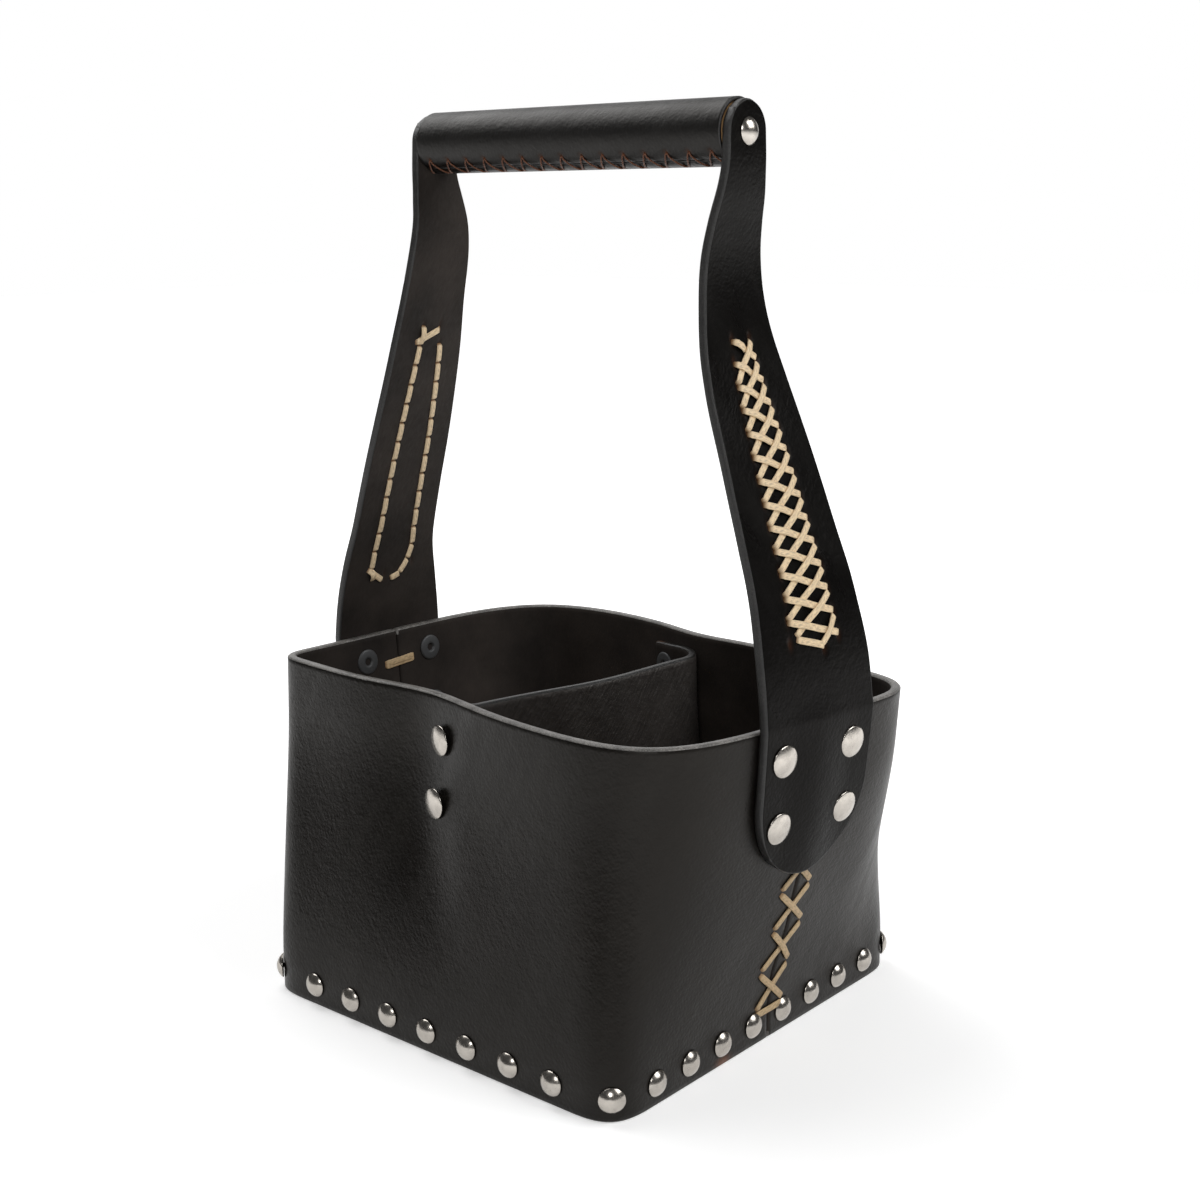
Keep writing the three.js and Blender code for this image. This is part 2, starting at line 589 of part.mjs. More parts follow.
const tackProfile = (length) => [[0, -length], [TACK_SHANK / 2, TACK_POINT - length], [TACK_SHANK / 2, FIT],
  ...domeProfile(TACK_HEAD / 2, TACK_RISE, TACK_SHOULDER, FIT)];

// A set rivet through a stack of leather, from the inside (-stackBelow) to the outside (stackAbove).
const rivetProfile = (stackBelow, stackAbove) => [[0, -stackBelow - FIT - RIVET_BACK_THICKNESS],
  [RIVET_BACK / 2, -stackBelow - FIT - RIVET_BACK_THICKNESS], [RIVET_BACK / 2, -stackBelow - FIT],
  [RIVET_POST / 2, -stackBelow - FIT], [RIVET_POST / 2, stackAbove + FIT],
  ...domeProfile(RIVET_CAP / 2, RIVET_CAP_RISE, RIVET_SHOULDER, stackAbove + FIT)];

const row = (count, span) => shares(count - 1).map((share) => (share - 1 / 2) * span);
const tackSpot = (name, x, y, normal) => ({ name, point: new THREE.Vector3(x, y, TACK_HEIGHT), normal });
const tackSpots = [];
for (const [end, sign] of [["front", -1], ["rear", 1]]) {
  row(FRONT_TACKS, BASE_LENGTH - 2 * FRONT_TACK_END).forEach((x, k) =>
    tackSpots.push(tackSpot(`${end}_tack_${k + 1}`, x, sign * halfDepth, outwardY(sign))));
}
for (const [side, sign] of [["left", -1], ["right", 1]]) {
  row(SIDE_TACKS, BASE_DEPTH - 2 * SIDE_TACK_END).forEach((y, k) =>
    tackSpots.push(tackSpot(`${side}_tack_${k + 1}`, sign * halfLength, y, outwardX(sign))));
}
for (const [end, endSign] of [["front", -1], ["rear", 1]]) {
  for (const [side, sideSign] of [["left", -1], ["right", 1]]) {
    const normal = new THREE.Vector3(sideSign, endSign, 0).normalize();
    const x = sideSign * (halfLength - BASE_CORNER) + normal.x * BASE_CORNER;
    const y = endSign * (halfDepth - BASE_CORNER) + normal.y * BASE_CORNER;
    tackSpots.push(tackSpot(`corner_tack_${end}_${side}`, x, y, normal));
  }
}
const tackBores = tackSpots.map(({ point, normal }) =>
  boreTool(point, normal, TACK_SHANK / 2, -TACK_LENGTH - FIT, TACK_RISE, SHANK_BORE_SIDES));

const strapRivets = [["left", -1], ["right", 1]].flatMap(([name, side]) =>
  STRAP_RIVET_HEIGHTS.flatMap((z, k) => row(2, STRAP_RIVET_PITCH).map((y, j) => ({
    name: `${name}_strap_rivet_${["front", "rear"][j]}_${["lower", "upper"][k]}`,
    side,
    ...sideFrame(side, y, z),
  }))));
const strapStack = FIT + STRAP_LEATHER;
const dividerStack = PANEL_LEATHER + DIVIDER_SEAT + DIVIDER_LEATHER;
const frontRivetX = DIVIDER_FRONT_X - DIVIDER_FRONT_BEND;
const rearRivetX = DIVIDER_REAR_X - DIVIDER_REAR_BEND;
const dividerRivets = [["front", -1, frontRivetX], ["rear", 1, rearRivetX]].flatMap(([name, end, x]) =>
  DIVIDER_RIVET_HEIGHTS.map((z, k) => ({
    name: `divider_rivet_${name}_${["lower", "upper"][k]}`,
    ...endFrame(end, x - RIVET_BACK / 2, z),
  })));
const rivetBore = (spot, below, above) =>
  boreTool(spot.point, spot.normal, RIVET_POST / 2, -below, above, FASTENER_SIDES);
const strapRivetBores = strapRivets.map((spot) => rivetBore(spot, 2 * PANEL_LEATHER, 3 * STRAP_LEATHER));
const dividerRivetBores = dividerRivets.map((spot) => rivetBore(spot, 2 * dividerStack, PANEL_LEATHER));
const nailSpot = (side) => ({
  point: new THREE.Vector3(side * (GRIP_LENGTH / 2 + FIT + STRAP_LEATHER), 0, GRIP_HEIGHT),
  normal: outwardX(side),
});
const nailBore = (side) => boreTool(nailSpot(side).point, nailSpot(side).normal, TACK_SHANK / 2,
  -NAIL_LENGTH - FIT, TACK_RISE, SHANK_BORE_SIDES);

// Pieces

function panelGeometry(half) {
  const rows = (depth) => wallLevels.map((z) =>
    wallLine(half, z, depth).map(({ x, y }) => new THREE.Vector3(x, y, z)));
  return sheetGeometry(rows(0), rows(PANEL_LEATHER));
}

const panelCuts = [...tackBores, ...strapRivetBores, ...dividerRivetBores, ...seamSlits(-1),
  ...seamSlits(1)];
addPiece("front_panel", cut(panelGeometry("front"), panelCuts), blackLeather);
addPiece("rear_panel", cut(panelGeometry("rear"), panelCuts), blackLeather);

const boardOutline = new THREE.Shape(["front", "rear"].flatMap((half) =>
  wallLine(half, 0, PANEL_LEATHER + FIT)));
const board = new THREE.ExtrudeGeometry(boardOutline, { depth: BOARD_THICKNESS, bevelEnabled: false });
addPiece("base_board", cut(board, tackBores), wood);

// Middle line of the divider at a height: flange, bend, run, bend, flange.
function dividerLine(z) {
  const seat = PANEL_LEATHER + DIVIDER_SEAT + DIVIDER_LEATHER / 2;
  const onWall = (end, x) => endWall(end, x, z, seat);
  const flange = (end, from) => shares(FLANGE_STEPS).slice(1).reverse().map((share) =>
    onWall(end, from - share * DIVIDER_FLANGE));
  const bend = (end, x, radius) => shares(BEND_STEPS).map((share) => {
    const turn = (share * Math.PI) / 2;
    const lift = -end * radius * (1 - Math.cos(turn));
    const along = x - radius + radius * Math.sin(turn);
    return new THREE.Vector3(along, onWall(end, x - radius).y + lift, z);
  });
  const front = [...flange(-1, DIVIDER_FRONT_X - DIVIDER_FRONT_BEND),
    ...bend(-1, DIVIDER_FRONT_X, DIVIDER_FRONT_BEND)];
  const rear = [...flange(1, DIVIDER_REAR_X - DIVIDER_REAR_BEND),
    ...bend(1, DIVIDER_REAR_X, DIVIDER_REAR_BEND)].reverse();
  const start = front[front.length - 1];
  const run = shares(RUN_STEPS).slice(1, -1).map((share) => start.clone().lerp(rear[0], share));
  return [...front, ...run, ...rear];
}

function dividerGeometry() {
  const bottom = BOARD_THICKNESS + FIT;
  const levels = [bottom, ...easeLevels.slice(1)];
  const offsetRow = (z, offset) => {
    const line = dividerLine(z);
    return line.map((point, i) => {
      const ahead = line[Math.min(i + 1, line.length - 1)].clone();
      const side = ahead.sub(line[Math.max(i - 1, 0)]).normalize();
      const moved = point.clone().add(new THREE.Vector3(side.y, -side.x, 0).multiplyScalar(offset));
      const drop = (DIVIDER_REAR_DROP * i) / (line.length - 1);
      return z === RIM_HEIGHT ? moved.setZ(z - drop) : moved;
    });
  };
  return sheetGeometry(levels.map((z) => offsetRow(z, DIVIDER_LEATHER / 2)),
    levels.map((z) => offsetRow(z, -DIVIDER_LEATHER / 2)));
}

addPiece("divider", cut(dividerGeometry(), dividerRivetBores), blackLeather);

for (const [name, side] of [["left", -1], ["right", 1]]) {
  const strapCuts = [...strapRivetBores, ...strapSlits(side), nailBore(side)];
  addPiece(`${name}_strap`, cut(strapGeometry(side), strapCuts), strapLeather);
  addPiece(`${name}_strap_lace`, laceGeometry(strapLaceStations(side)), creamLace);
  addPiece(`${name}_seam_lace`, laceGeometry(seamLaceStations(side)), tanLace);
  const { point, normal } = nailSpot(side);
  addFastener(`${name}_grip_nail`, tackProfile(NAIL_LENGTH), point, normal);
}

for (const { name, point, normal } of strapRivets) {
  addFastener(name, rivetProfile(PANEL_LEATHER, strapStack), point, normal);
}
for (const { name, point, normal } of dividerRivets) {
  addFastener(name, rivetProfile(dividerStack, DIVIDER_RIVET_SEAT), point, normal);
}
for (const { name, point, normal } of tackSpots) {
  addFastener(name, tackProfile(TACK_LENGTH), point, normal);
}

const dowelRadius = DOWEL_DIAMETER / 2;
const dowel = new THREE.CylinderGeometry(dowelRadius, dowelRadius, GRIP_LENGTH, GRIP_SIDES);
dowel.rotateZ(Math.PI / 2).translate(0, 0, GRIP_HEIGHT);
addPiece("grip_dowel", cut(dowel, [nailBore(-1), nailBore(1)]), wood);

const wrapInner = (dowelRadius + FIT) / Math.cos(Math.PI / GRIP_SIDES);
const wrapOuter = wrapInner + WRAP_LEATHER;
const wrapProfile = [[wrapInner, -1], [wrapOuter, -1], [wrapOuter, 1], [wrapInner, 1], [wrapInner, -1]];
const wrapOutline = wrapProfile.map(([radius, end]) => new THREE.Vector2(radius, (end * GRIP_LENGTH) / 2));
const wrap = new THREE.LatheGeometry(wrapOutline, GRIP_SIDES);
addPiece("grip_wrap", wrap.rotateZ(Math.PI / 2).translate(0, 0, GRIP_HEIGHT), gripLeather);

export default bag;
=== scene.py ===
import math
from functools import partial

import bmesh
import bpy
import numpy as np
from bpy.props import FloatProperty, FloatVectorProperty, IntProperty, PointerProperty
from mathutils import Matrix, Vector


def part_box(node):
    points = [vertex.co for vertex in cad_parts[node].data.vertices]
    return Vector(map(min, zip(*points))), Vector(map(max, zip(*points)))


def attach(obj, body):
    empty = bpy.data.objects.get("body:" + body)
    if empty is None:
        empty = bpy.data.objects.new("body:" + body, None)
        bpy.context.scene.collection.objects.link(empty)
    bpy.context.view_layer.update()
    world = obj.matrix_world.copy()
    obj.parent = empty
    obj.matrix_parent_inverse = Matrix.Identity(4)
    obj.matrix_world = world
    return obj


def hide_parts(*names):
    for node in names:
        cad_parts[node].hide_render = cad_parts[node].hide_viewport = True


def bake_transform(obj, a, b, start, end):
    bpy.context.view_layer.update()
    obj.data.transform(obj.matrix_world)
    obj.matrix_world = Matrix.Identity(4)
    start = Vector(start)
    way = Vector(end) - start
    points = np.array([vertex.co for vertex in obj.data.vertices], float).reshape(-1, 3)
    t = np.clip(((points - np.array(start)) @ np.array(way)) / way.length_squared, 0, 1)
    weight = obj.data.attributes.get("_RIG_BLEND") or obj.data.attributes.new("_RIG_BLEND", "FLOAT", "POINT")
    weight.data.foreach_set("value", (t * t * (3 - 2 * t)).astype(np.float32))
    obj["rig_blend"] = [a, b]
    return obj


bl_info = {
    "name": "Leather Mate Bag",
    "version": (1, 0, 0),
    "blender": (4, 5, 0),
    "location": "3D View > Sidebar > Mate Bag",
    "description": "Dresses a leather mate bag: walls, divider, laced straps, tacks, rivets and grip",
    "category": "Object",
}

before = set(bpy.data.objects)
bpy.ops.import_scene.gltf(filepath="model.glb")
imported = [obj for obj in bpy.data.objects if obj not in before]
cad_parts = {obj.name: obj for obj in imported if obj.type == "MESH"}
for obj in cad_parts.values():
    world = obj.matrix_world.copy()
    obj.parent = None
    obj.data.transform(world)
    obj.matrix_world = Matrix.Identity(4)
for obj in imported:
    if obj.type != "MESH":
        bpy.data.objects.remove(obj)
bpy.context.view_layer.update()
BOARD_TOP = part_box("base_board")[1].z
RIM_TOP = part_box("front_panel")[1].z
DOWEL_LOW, DOWEL_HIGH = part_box("grip_dowel")

FIT = 0.0003  # gap between pieces that touch
SIDES = (("left", -1), ("right", 1))
ENDS = (("front", -1), ("rear", 1))
GRAIN_SIDE, FLESH_SIDE, CUT_EDGE = range(3)  # materials of a leather sheet
SLOPE_REACH = 0.001  # a slope is measured over this on both sides of its place

# Rim of the basket: x, y and corner radius. The base is square, and the walls ease from one to the other.
RIM_CORNERS = {
    "front_left": (-0.124, -0.0675, 0.012),
    "front_right": (0.107, -0.086, 0.046),
    "rear_right": (0.1298, 0.0715, 0.028),
    "rear_left": (-0.117, 0.105, 0.056),
}
EASE_TOP = 0.120  # height at which the quicker half of that easing is done
CORNER_REACH = 1.5  # length of a soft corner, against that of a plain round
CORNER_PULLS = (1.0, 0.65, 0.2)  # shares of that length at which its control points lie
FRONT_PINCH = (-0.025, 0.0068, 0.034)  # place, depth and spread of the fold that the divider draws in
REAR_PINCH = (0.001, 0.004, 0.022)
NO_PINCH = (0.0, 0.0, 1.0)
FRONT_FOLD = (-0.0145, 0.12, 0.020)  # place, slope and spread of the fold beside the front rivets
FOLD_SLANT = 0.45  # the fold runs this much to the right for each step down
FOLD_BEND = 0.098  # it slants below this height
FOLD_RISE = (0.030, 0.100)  # heights at which it starts and is full
FOLD_FADE = 0.120  # it fades above this height
FOLD_LOSS = 0.85  # share of it that has gone at the rim
OUTLINE_STEPS = 720
ARC_STEPS = 48
SIDE_REACH = 0.060  # straps and seams lie within this of the middle of a side wall
SIDE_STEPS = (0.001, 0.002)  # steps across and up at which a side wall is worked out
LAST_CELL = 1.001  # keeps a reading inside the last cell of a table

# Leather of the walls
PANEL_COLUMNS, PANEL_ROWS = 240, 72
EDGE_CUTS = 5  # cuts across a cut edge
EDGE_POWER = 2.5  # squareness of a cut edge: 2 is round
RIM_EDGE = 0.002  # the cut edges of the rim and the foot lie within this of them
TACK_DENT = (0.00025, 0.0062)  # depth and spread of the dent round a tack
WAVES = ((1, 31, 17, 0.7), (1, 57, -39, 2.1), (0.6, 113, 71, 4.0))  # strength, turns across and up, start
WAVE_SPAN = 5.2  # from the lowest to the highest sum of the waves
WAVE_DEPTH = 0.0005
WAVE_RISE = (0.02, 0.05)  # heights at which the waves start and are full
WAVE_CLEARANCE = 0.03  # from a seam to where the waves are full
NICK_PLACE = (0.100, -0.031, 0.0)  # worn nick in the foot of the right wall
NICK_SPREAD, NICK_HEIGHT = 0.004, 0.003

# Seams
SEAM_LEVELS = {-1: (0.0185, 0.018), 1: (0.0148, 0.0177)}  # lowest slits and pitch, left and right
SEAM_SHIFT = 0.0045  # the right seam wanders this far to the rear above its foot
SEAM_SHIFT_SPAN = (0.028, 0.050, 0.082, 0.105)  # heights: it starts, is full, starts to fade, has gone
SEAM_DRAG = 0.05  # the leather shifts with its seam up to this far from it
SEAM_CROSS_LAP = 0.0008  # a cross starts this far inside its pair of slits
SEAM_OVER, SEAM_BAR, SEAM_FOOT = 0.0012, 0.0009, 0.0006  # heights of upper cross, upper bar and foot bar
SEAM_MIDDLE = (0.42, 0.58)  # shares of a strand between which it lies at that height

# Divider
DIVIDER_X = {"front": -0.005, "rear": 0.007}  # where it leaves its bends
DIVIDER_ROWS, FLANGE_STEPS, RUN_STEPS = 60, 18, 70
BEND_STEPS = {"front": 12, "rear": 22}
DIVIDER_EDGE = 0.22  # roundness of its cut edges, as a share of its thickness
DROP_START = 0.25  # share of its drop that it has at the front
DIVIDER_BOW = (0.005, 0.042)  # depth and spread of its bow to the right
BOW_START = 0.2  # share of its height at which the bow starts
RAW_CORNER = (0.7, 0.004, 0.97)  # rear corner: how raw, how far along, and from which share of the height

# Straps: shares of the way from the rim to the grip, against the lean inwards and the extra width
STRAP_LEAN = {
    -1: ((0, 0), (0.1, 0.03), (0.17, 0.08), (0.24, 0.19), (0.305, 0.295), (0.44, 0.526), (0.574, 0.742),
         (0.71, 0.93), (0.76, 1), (0.8, 1.045), (0.85, 1.07), (0.9, 1.035), (0.94, 1), (1, 1)),
    1: ((0, 0), (0.1, 0.07), (0.17, 0.154), (0.24, 0.26), (0.305, 0.39), (0.44, 0.66), (0.574, 0.94),
        (0.64, 1.055), (0.71, 1.128), (0.76, 1.15), (0.8, 1.143), (0.85, 1.1), (0.91, 1.026), (0.95, 1),
        (1, 1)),
}
STRAP_TAPER = ((0, 1), (0.1, 0.93), (0.2, 0.81), (0.3, 0.77), (0.4, 0.74), (0.5, 0.665), (0.6, 0.545),
               (0.7, 0.38), (0.8, 0.27), (0.88, 0.145), (0.94, 0.03), (1, 0))
STRAP_TOE = 0.09  # slope by which the rear edge stands further out than the front edge
STRAP_TOE_SPAN = (0, 0.25, 0.5, 0.85)  # shares: it starts, is full, starts to fade, has gone
STRAP_LOOSE = 0.5  # share at which the strap no longer follows the curve of the wall
STRAP_PAD = (0.0014, 0.0, 0.021)  # stand-off over the seam lacing, and where it starts and ends to fall
PAD_TOP = 0.0048  # the pad starts to fade this far above the seam's top slits
PAD_FADE = 0.028
STRAP_COLUMNS, STRAP_ROWS = 96, 280
STRAP_ARC_POINTS, STRAP_EDGE_POINTS = 40, 400
BLEND_START = (0.0, 0.0, RIM_TOP)  # the straps bend between these two places
BLEND_END = (0.0, 0.0, 0.345)

# Slits and laces
SLIT_DENT, SLIT_HALF_WIDTH, SLIT_HALF_HEIGHT = 0.0007, 0.0011, 0.0021
SLIT_RAW, SLIT_RAW_INSIDE = 0.15, 0.4  # how raw a slit is, and the share of that inside
SLIT_SHIFT = 0.0013  # strands that share a slit lie this far apart
BOTTOM_SLIT_SHIFT = (0.0035, 0.002)  # the lowest slit of one column lies this far in and up
LAST_SLIT = (0.0045, 0.169)  # the single slit at the end of the lacing
LAST_STRAND_SHIFT = (0.0015, 0.0005)  # the last strand but one ends this far beside it
LAST_CROSSING = 0.72  # share of the last strand at which it crosses the one before
LACE_SUNK, LACE_LOW, LACE_OVER = -0.0008, 0.00045, 0.0013  # height in a slit, on leather and over a strand
STRAND_DIVE, SEAM_DIVE = 0.0009, 0.0010  # length of a strand's turn into its slit
STRAND_FLAT = 0.0015  # a strand lies flat this far on both sides of a crossing
# Necks and folds, as lay_lace takes them
STRAND_NECK, STRAND_FOLD = (0.75, 0.2, 1.6), (0.3, 1.2)
SEAM_NECK, SEAM_FOLD = (0.7, 0.2, 2.0), (0.3, 1.4)
STITCH_NECK, STITCH_FOLD = (0.85, 0.02, 0.15), (0.03, 0.10)
STITCH_SUNK, STITCH_LOW = -0.0006, 0.0004
STITCH_OVER_LEATHER, STITCH_OVER_TAIL = 0.0005, 0.0012
STITCH_RISE = (0.1, 0.4)  # shares at which a stitch has left its slit and lies at its height
STITCH_LAP = 0.0002  # a stitch ends this far inside its slits
STRAND_STEPS, STITCH_STEPS = 30, 22

# Tacks, nails and rivets
END_TACKS = (7, 0.0313)  # tacks in the front or rear, and how far the outer ones are from the corner
SIDE_TACKS = (8, 0.026)
TACK_LENGTH, NAIL_LENGTH = 0.015, 0.034
SHANK_RADIUS, SHANK_POINT = 0.0011, 0.003
TACK_LIP, RIVET_LIP = 0.0004, 0.0005
HEAD_LIFT = 0.0001  # heads and rings clear the leather by this
DOME_STEPS, TACK_STEPS, RIVET_STEPS = 14, 32, 36
STRAP_RIVETS = {"lower": 0.102, "upper": 0.1295}  # heights
STRAP_RIVET_REACH = 0.0195  # from the middle of the strap
DIVIDER_RIVETS = {"lower": 0.098, "upper": 0.124}
DIVIDER_RIVET_INSET = 0.0045  # from the start of the bend
DIVIDER_CAP_SEAT = 0.0009  # caps stand off the curved wall by this
RIVET_POST = 0.0025  # radius
# Ring behind a rivet: its edge from its radius and base, and its hollow middle as radius and from its base
RING_EDGE = ((-0.0002, 0.0), (0.0, -0.0003), (-0.0003, -0.0007), (-0.0009, -0.0009))
RING_HOLLOW = ((0.0030, -0.0009), (0.0022, -0.0010), (0.0018, -0.0006), (0.0016, 0.0006), (0.0, 0.0008))

# Grip: angles are below the front horizontal
GRIP_SEAM = math.radians(57)
UPPER_HOLES = math.radians(34.5)
LOWER_HOLES = math.radians(80)
HOLE_COUNT, HOLE_REACH = 15, 0.0755  # holes in a row, and from its middle to its ends
HOLE_SIZE, HOLE_DENT, HOLE_RAW = 0.0011, 0.0005, 0.25
GRIP_GAP = 0.05  # angle from the seam to the edges of the leather
GRIP_EDGE = 0.0004  # roundness of its cut edges
GRIP_TUCK = (0.0003, 0.12)  # depth and angle of the tuck along the seam
GRIP_POINTS_ALONG, GRIP_POINTS_ROUND = 181, 121
THREAD_LIFT = ((0, -0.0006), (0.14, 0.0003), (0.86, 0.0003), (1, -0.0006))  # shares and heights of a stitch
THREAD_STEPS, THREAD_SIDES = 14, 8
THREAD_SQUARENESS = 2.0  # round

# Roughness, shine and wrinkles of the grain side of each leather
POLISH = {
    "wall": (0.35, 0.22, 0.20),
    "divider": (0.50, 1.0, 1.0),
    "strap": (0.31, 0.075, 0.20),
    "grip": (0.42, 0.28, 0.20),
}
WARM_SHEEN = (1.0, 0.95, 0.90, 1.0)

# Camera of the photograph
CAMERA_PLACE = (0.4854, -0.5559, 0.3373)
CAMERA_TURN = math.radians(40.53)
CAMERA_DIP = math.radians(12.59)
CAMERA_ROLL = math.radians(-0.41)
CAMERA_LENS = 52.725
CAMERA_SENSOR = 36.0
CAMERA_CLIP = 0.01

# Studio: name, place, target, size and power of each softbox
SOFTBOXES = (
    ("Right softbox", (0.95, 0.45, 1.0), (0.35, 0.35, 0.0), 0.8, 10),
    ("Top softbox", (-0.70, -0.05, 1.25), (0.0, 0.0, 0.2), 1.0, 11),
    ("Front softbox", (0.75, -1.05, 0.85), (0.05, -0.05, 0.08), 0.4, 5),
)
FLOOR_SIZE = 6.0
FLOOR_COLOUR = (0.86, 0.86, 0.86, 1.0)
FLOOR_ROUGHNESS = 0.6
FLOOR_GLOW = {"From Min": 0.20, "From Max": 0.8, "To Min": 0.42, "To Max": 1.0}  # by distance from the bag
WHITE = (1, 1, 1, 1)
ROOM_STOPS = ((0.72, 0.08), (0.84, 1.0))  # from the dark room to the white backdrop
ROOM_LIGHT = {"To Min": 0.6, "To Max": 1.0}  # strength as light and as background


def length_property(name, description, default):
    return FloatProperty(name=name, description=description, default=default, min=0.0, unit="LENGTH",
                         precision=4)


def colour_property(name, description, default):
    return FloatVectorProperty(name=name, description=description, default=default, size=3, min=0.0,
                               max=1.0, subtype="COLOR")


class BasketSizes(bpy.types.PropertyGroup):
    """Sizes of the two leather panels that make the basket"""
    length: length_property("Base length", "Outside length of the base, along the grip", 0.200)
    depth: length_property("Base depth", "Outside depth of the base, across the grip", 0.199)
    corner: length_property("Base corner", "Corner radius of the base", 0.016)
    board: length_property("Board top", "Top of the board inside the foot", BOARD_TOP)
    rim: length_property("Rim height", "Height of the rim", RIM_TOP)
    leather: length_property("Leather", "Thickness of the panels", 0.004)
    edge: length_property("Edge round", "Roundness of the cut edges", 0.0008)


class DividerSizes(bpy.types.PropertyGroup):
    """Sizes of the leather wall across the inside"""
    leather: length_property("Leather", "Thickness of the divider", 0.0035)
    seat: length_property("Seat", "Gap behind the flanges", 0.0007)
    flange: length_property("Flange", "Length of the flange on the front wall", 0.024)
    rear_flange: length_property("Rear flange", "Length of the flange on the rear wall", 0.013)
    front_bend: length_property("Front bend", "Radius of the bend at the front wall", 0.005)
    rear_bend: length_property("Rear bend", "Radius of the bend at the rear wall", 0.020)
    drop: length_property("Drop", "Fall of the top edge from the front to the rear", 0.008)


class StrapSizes(bpy.types.PropertyGroup):
    """Sizes of the two strap arms"""
    leather: length_property("Leather", "Thickness of the straps", 0.004)
    foot_width: length_property("Foot width", "Width of the foot on the wall", 0.062)
    head_width: length_property("Head width", "Width of the head at the grip", 0.024)
    tip: length_property("Tip height", "Height of the lowest point of the foot", 0.078)
    foot_round: length_property("Foot round", "Height of the half-oval that ends the foot", 0.035)


class LaceSizes(bpy.types.PropertyGroup):
    """Sizes of the flat laces"""
    width: length_property("Width", "Width of a lace", 0.0029)
    thickness: length_property("Thickness", "Thickness of a lace", 0.0008)
    rows: IntProperty(name="Rows", description="Rows of slits in a strap", default=14, min=4)
    top: length_property("Top row", "Height of the top row of slits", 0.2865)
    pitch: length_property("Pitch", "Height from one row to the next", 0.00875)
    inset: length_property("Inset", "From the edge of a strap to its slits", 0.0155)
    seam_reach: length_property("Seam reach", "From the seam to its slits", 0.0093)
    seam_levels: IntProperty(name="Seam levels", description="Pairs of slits in a seam", default=7, min=2)


class FastenerSizes(bpy.types.PropertyGroup):
    """Sizes of the tacks, nails and rivets"""
    tack_head: length_property("Tack head", "Diameter of a domed head", 0.0105)
    tack_rise: length_property("Tack rise", "Height of a domed head", 0.003)
    tack_height: length_property("Tack height", "Height of the row of tacks", 0.0095)
    rivet_cap: length_property("Rivet cap", "Diameter of a rivet's cap", 0.013)
    rivet_rise: length_property("Rivet rise", "Height of a rivet's cap", 0.0018)
    rivet_back: length_property("Rivet back", "Diameter of the ring behind a rivet", 0.012)


class GripSizes(bpy.types.PropertyGroup):
    """Sizes of the wrapped grip"""
    height: length_property("Height", "Height of the middle of the grip", (DOWEL_LOW.z + DOWEL_HIGH.z) / 2)
    length: length_property("Length", "Length of the grip between the straps", DOWEL_HIGH.x - DOWEL_LOW.x)
    inner: length_property("Inner radius", "Inner radius of the wrap", 0.0114)
    outer: length_property("Outer radius", "Outer radius of the wrap", 0.0129)
    thread: length_property("Thread", "Diameter of the stitching thread", 0.0007)


class Finishes(bpy.types.PropertyGroup):
    """Colours of the leathers, laces and metal"""
    wall: colour_property("Wall leather", "Grain side of the walls", (0.0068, 0.0057, 0.0046))
    strap: colour_property("Strap leather", "Grain side of the straps", (0.0036, 0.0032, 0.0029))
    # Painted sheen: the divider's grain is made about three times lighter than the walls' to stand in for
    # light that does not reach its face.
    divider: colour_property("Divider leather", "Grain side of the divider", (0.024, 0.0205, 0.0185))
    grip: colour_property("Grip leather", "Leather of the wrap", (0.0062, 0.0059, 0.0056))
    flesh: colour_property("Flesh side", "Inside of the leathers", (0.025, 0.020, 0.017))
    edge: colour_property("Cut edge", "Fibres of the cut edges", (0.022, 0.0203, 0.0187))
    # Painted highlight: the light grey of the rim edge stands in for the bright line that light draws along
    # the rim; its fibres are its own.
    rim: colour_property("Rim edge", "Fibres of the cut edges of the walls", (0.30, 0.283, 0.262))
    raw: colour_property("Raw leather", "Undyed leather at slits and nicks", (0.19, 0.075, 0.035))
    lace: colour_property("Strap lace", "Lace of the straps", (0.86, 0.66, 0.42))
    seam_lace: colour_property("Seam lace", "Lace of the seams", (0.57, 0.41, 0.23))
    fold: colour_property("Lace folds", "Lace where it turns into a slit", (0.20, 0.095, 0.030))
    nickel: colour_property("Nickel", "Heads of tacks and rivets", (0.50, 0.465, 0.42))
    rivet_back: colour_property("Rivet back", "Rings behind the rivets", (0.080, 0.082, 0.084))
    thread: colour_property("Thread", "Stitching of the grip", (0.17, 0.055, 0.018))
    wood: colour_property("Wood", "Board and rod", (0.46, 0.27, 0.12))


class MateBag(bpy.types.PropertyGroup):
    """Sizes and finishes of the bag"""
    basket: PointerProperty(type=BasketSizes)
    divider: PointerProperty(type=DividerSizes)
    strap: PointerProperty(type=StrapSizes)
    lace: PointerProperty(type=LaceSizes)
    fastener: PointerProperty(type=FastenerSizes)
    grip: PointerProperty(type=GripSizes)
    finish: PointerProperty(type=Finishes)


# Curves and surfaces


def unit(vectors):
    return vectors / np.linalg.norm(vectors, axis=-1, keepdims=True)


def mix(first, second, share):
    return first + (second - first) * share


def smooth_step(value, low, high):
    share = np.clip((value - low) / (high - low), 0.0, 1.0)
    return share * share * (3.0 - 2.0 * share)


def smooth_table(pairs):
    """A smooth curve through pairs, read at any first value."""
    places, values = np.array(pairs, float).T
    slopes = np.gradient(values, places)

    def read(value):
        value = np.clip(value, places[0], places[-1])
        low = np.clip(np.searchsorted(places, value, side="right") - 1, 0, len(places) - 2)
        step = places[low + 1] - places[low]
        t = (value - places[low]) / step
        rise = t * t * (3 - 2 * t)
        return (mix(values[low], values[low + 1], rise) + t * (1 - t) ** 2 * step * slopes[low]
                + t * t * (t - 1) * step * slopes[low + 1])

    return read


def run_lengths(points):
    steps = np.linalg.norm(np.diff(points, axis=0), axis=1)
    return np.concatenate([[0.0], np.cumsum(steps)])


def even_points(points, count):
    """Points at equal steps along a line."""
    lengths = run_lengths(points)
    places = np.linspace(0, lengths[-1], count)
    return np.stack([np.interp(places, lengths, column) for column in points.T], axis=1)


